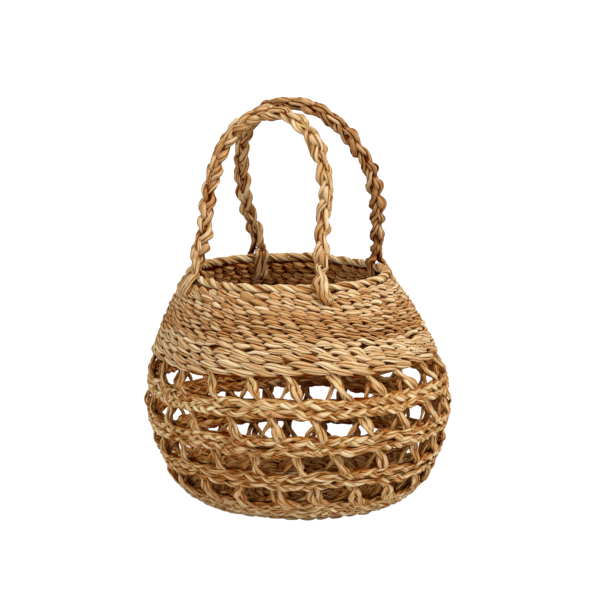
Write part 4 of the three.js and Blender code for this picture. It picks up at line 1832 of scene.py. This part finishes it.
        def gap(azimuth: np.ndarray) -> np.ndarray:
            """How open the line of small gaps is at an azimuth, from 0 to 1."""
            holes = np.clip(np.sin(STAKE_PAIRS * azimuth + self.GAP_PHASE), 0.0, 1.0) ** 2
            patches = self.PATCH_SIZE * np.sin(self.PATCH_COUNT * azimuth + self.PATCH_PHASE)
            return holes * np.clip(self.PATCH_LEVEL + patches, 0.0, 1.0)

        for part, (first, last, tone) in enumerate(self.SHOULDER_PARTS):
            weave = Weave(f"shoulder_rows_{part + 1}")
            rng = self.rng(Source.SHOULDER + part)
            for index in range(first, last):
                push = self.GAP_PUSH * math.exp(-abs(index - self.GAP_ROW + 0.5))
                push = push if index >= self.GAP_ROW else -push
                row = self._shoulder_row(index, rows[index], tone, rng)
                weave.add(*row.strands(self.meridian, rng, lambda a, p=push: bow(a) + p * gap(a)))
            self.settle(weave, Slot.WEFT, "shoulder")

    def weave_tips(self) -> None:
        """Leaf tips that stick out of the woven rows here and there."""
        weave = Weave("loose_ends")
        rng = self.rng(Source.LEAF_TIPS)
        spans = []
        for levels, count in zip(self.levels.bands, self.BAND_TIPS, strict=True):
            spans += [tuple(self.meridian.length_at(level) for level in levels)] * count
        bottom = self.meridian.length_at(self.levels.shoulder_bottom)
        spans += [(bottom, self.meridian.end - self.TIP_HEADROOM)] * self.SHOULDER_TIPS
        for span in spans:
            azimuth = np.array([rng.uniform(0.0, FULL_TURN)])
            length = np.array([rng.uniform(*span)])
            root = self.meridian.place(azimuth, length, np.array([-self.TIP_DEPTH]))[0]
            outward = self.meridian.outward(azimuth, length)[0]
            along = np.array((-math.sin(azimuth[0]), math.cos(azimuth[0]), 0.0))
            weave.add(LeafTip().strand(root, along, outward, rng))
        self.settle(weave, Slot.WEFT)

    def weave_stakes(self) -> None:
        """Stakes of both layers, one piece for each stake of the frame."""
        for pair in range(STAKE_PAIRS):
            outer = Stake(pair, -1, 4.6, 2, half_width=3.2, half_thickness=1.4, steepness=0.35, overlap=4.6)
            inner = Stake(pair, 1, 7.6, 1, half_width=2.4, half_thickness=1.7, steepness=-0.3)
            layers = (("outer", outer, Source.OUTER_STAKES), ("inner", inner, Source.INNER_STAKES))
            for layer, stake, source in layers:
                name = f"{layer}_stake_{pair + 1:02d}"
                weave = Weave(f"{name}_strand")
                weave.add(*stake.strands(self.meridian, self.levels, self.rng(source + pair)))
                self.settle(weave, Slot.STAKE, name)

    def weave_rim(self) -> None:
        """Rope round the mouth, and the turned-in ends of the stakes right under it."""
        weave = Weave("rim_plies")
        weave.add(*self.rim.strands(self.rng(Source.RIM)))
        # A filler strip in full painted shade under the rope stands for the turned-in ends of the stakes.
        azimuth = RIM_SEAM + np.linspace(0.0, FULL_TURN, self.RIM_FILLER_STATIONS)
        length = np.full(azimuth.size, self.meridian.end + self.SHOULDER_OVERRUN)
        ring = self.meridian.place(azimuth, length, -self.meridian.middle(length))
        outward = self.meridian.outward(azimuth, length)
        weave.add(filler(ring, outward, self.RIM_FILLER_HALF_HEIGHT, self.rng(Source.RIM_FILLER)))
        self.settle(weave, Slot.WEFT, "rim_rope")

    def plait_handle(self, plait: Plait, number: int) -> None:
        """One handle with its feet.

        Args:
            plait: Shape of the handle.
            number: Number of its random source.
        """
        hinge = self.hinges[f"{plait.name}_handle"]
        handle = Handle(plait, self.rim, self.meridian, hinge["pos_m"][2] / MM)
        weave = Weave(f"{plait.name}_plait")
        weave.add(*handle.strands(self.rng(number)))
        piece = weave.build(self.finishes[Slot.PLAIT])
        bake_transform(piece)
        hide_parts(f"{plait.name}_handle", f"{plait.name}_left_foot", f"{plait.name}_right_foot")

    def build(self) -> None:
        """Builds every piece."""
        self.weave_base()
        self.weave_foot()
        self.weave_bands()
        self.weave_shoulder()
        self.weave_tips()
        self.weave_stakes()
        self.weave_rim()
        self.plait_handle(FRONT_PLAIT, Source.FRONT_PLAIT)
        self.plait_handle(BACK_PLAIT, Source.BACK_PLAIT)


@dataclass(frozen=True)
class SoftLight:
    """Square soft light that looks at the middle of the basket.

    azimuth is in degrees to the right of the camera and elevation in degrees above the horizon.
    distance and size are in metres, and power is in watts.
    """

    name: str
    azimuth: float
    elevation: float
    distance: float
    size: float
    power: float

    AIM_HEIGHT = 0.15

    def place(self, camera_azimuth: float) -> None:
        """Adds the light to the scene.

        Args:
            camera_azimuth: Angle of the camera, in radians.
        """
        data = bpy.data.lights.new(self.name, "AREA")
        data.size = self.size
        data.energy = self.power
        light = bpy.data.objects.new(self.name, data)
        bpy.context.scene.collection.objects.link(light)
        turn = camera_azimuth + math.radians(self.azimuth)
        high = math.radians(self.elevation)
        back = Vector((math.sin(turn) * math.cos(high), -math.cos(turn) * math.cos(high), math.sin(high)))
        light.location = Vector((0.0, 0.0, self.AIM_HEIGHT)) + self.distance * back
        light.rotation_euler = (-back).to_track_quat("-Z", "Y").to_euler()


class Studio:
    """Camera, light and background. Its lengths are metres, but those of lens and sensor millimetres."""

    CAMERA_AZIMUTH = math.radians(24.75)
    CAMERA_DISTANCE = 2.0
    CAMERA_HEIGHT = 0.569
    AIM_HEIGHT = 0.198
    FOCAL_LENGTH = 122.1
    SENSOR_WIDTH = 36.0
    CLIP_START = 0.05
    CLIP_END = 50.0
    WORLD_LIGHT = 0.55
    WORLD_SEEN = 1.1
    FLOOR_REACH = 6.0
    FLOOR_GREY = 0.9
    FLOOR_GLOW = 1.13
    FLOOR_GLOW_SHARE = 0.89
    LIGHTS = (SoftLight("Key", 50.0, 52.0, 2.2, 0.9, 46.0), SoftLight("Fill", -50.0, 35.0, 2.4, 1.2, 19.0))

    def camera(self) -> None:
        """Places the camera and makes it the scene's."""
        data = bpy.data.cameras.new("Camera")
        data.lens = self.FOCAL_LENGTH
        data.sensor_width = self.SENSOR_WIDTH
        camera = bpy.data.objects.new("Camera", data)
        bpy.context.scene.collection.objects.link(camera)
        distance, azimuth = self.CAMERA_DISTANCE, self.CAMERA_AZIMUTH
        camera.location = (distance * math.sin(azimuth), -distance * math.cos(azimuth), self.CAMERA_HEIGHT)
        aim = Vector((0.0, 0.0, self.AIM_HEIGHT)) - camera.location
        camera.rotation_euler = aim.to_track_quat("-Z", "Y").to_euler()
        data.clip_start, data.clip_end = self.CLIP_START, self.CLIP_END
        bpy.context.scene.camera = camera

    def background(self) -> None:
        """White world, which the camera sees brighter than it lights the basket."""
        world = bpy.data.worlds.new("World")
        bpy.context.scene.world = world
        world.use_nodes = True
        nodes, links = world.node_tree.nodes, world.node_tree.links
        path = nodes.new("ShaderNodeLightPath")
        strength = nodes.new("ShaderNodeMapRange")
        strength.inputs["To Min"].default_value = self.WORLD_LIGHT
        strength.inputs["To Max"].default_value = self.WORLD_SEEN
        links.new(path.outputs["Is Camera Ray"], strength.inputs["Value"])
        nodes["Background"].inputs["Color"].default_value = (1.0, 1.0, 1.0, 1.0)
        links.new(strength.outputs["Result"], nodes["Background"].inputs["Strength"])

    def _floor_material(self) -> bpy.types.Material:
        """Pale material that glows for the camera, so that only a faint shadow shows on it.

        Returns:
            The material.
        """
        material = bpy.data.materials.new("Floor")
        material.use_nodes = True
        nodes, links = material.node_tree.nodes, material.node_tree.links
        shader = nodes["Principled BSDF"]
        shader.inputs["Base Color"].default_value = (self.FLOOR_GREY, self.FLOOR_GREY, self.FLOOR_GREY, 1.0)
        shader.inputs["Roughness"].default_value = 1.0
        shader.inputs["Specular IOR Level"].default_value = 0.0
        glow = nodes.new("ShaderNodeEmission")
        glow.inputs["Strength"].default_value = self.FLOOR_GLOW
        blend = nodes.new("ShaderNodeMixShader")
        path = nodes.new("ShaderNodeLightPath")
        share = nodes.new("ShaderNodeMath")
        share.operation = "MULTIPLY"
        share.inputs[1].default_value = self.FLOOR_GLOW_SHARE
        links.new(path.outputs["Is Camera Ray"], share.inputs[0])
        links.new(share.outputs[0], blend.inputs[0])
        links.new(shader.outputs[0], blend.inputs[1])
        links.new(glow.outputs[0], blend.inputs[2])
        links.new(blend.outputs[0], nodes["Material Output"].inputs["Surface"])
        return material

    def floor(self) -> None:
        """Floor under the basket."""
        mesh = bpy.data.meshes.new("Floor")
        reach = self.FLOOR_REACH
        corners = [(-reach, -reach, 0.0), (reach, -reach, 0.0), (reach, reach, 0.0), (-reach, reach, 0.0)]
        mesh.from_pydata(corners, [], [(0, 1, 2, 3)])
        mesh.materials.append(self._floor_material())
        floor = bpy.data.objects.new("Floor", mesh)
        bpy.context.scene.collection.objects.link(floor)

    def build(self) -> None:
        """Sets up the studio."""
        self.camera()
        self.background()
        self.floor()
        for light in self.LIGHTS:
            light.place(self.CAMERA_AZIMUTH)
        scene = bpy.context.scene
        scene.view_settings.view_transform = "Standard"


def main() -> None:
    """Builds the basket and its studio."""
    logging.basicConfig(level=logging.INFO, format="%(name)s: %(message)s")
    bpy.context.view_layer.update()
    Basket().build()
    Studio().build()


if __name__ == "__main__":
    main()
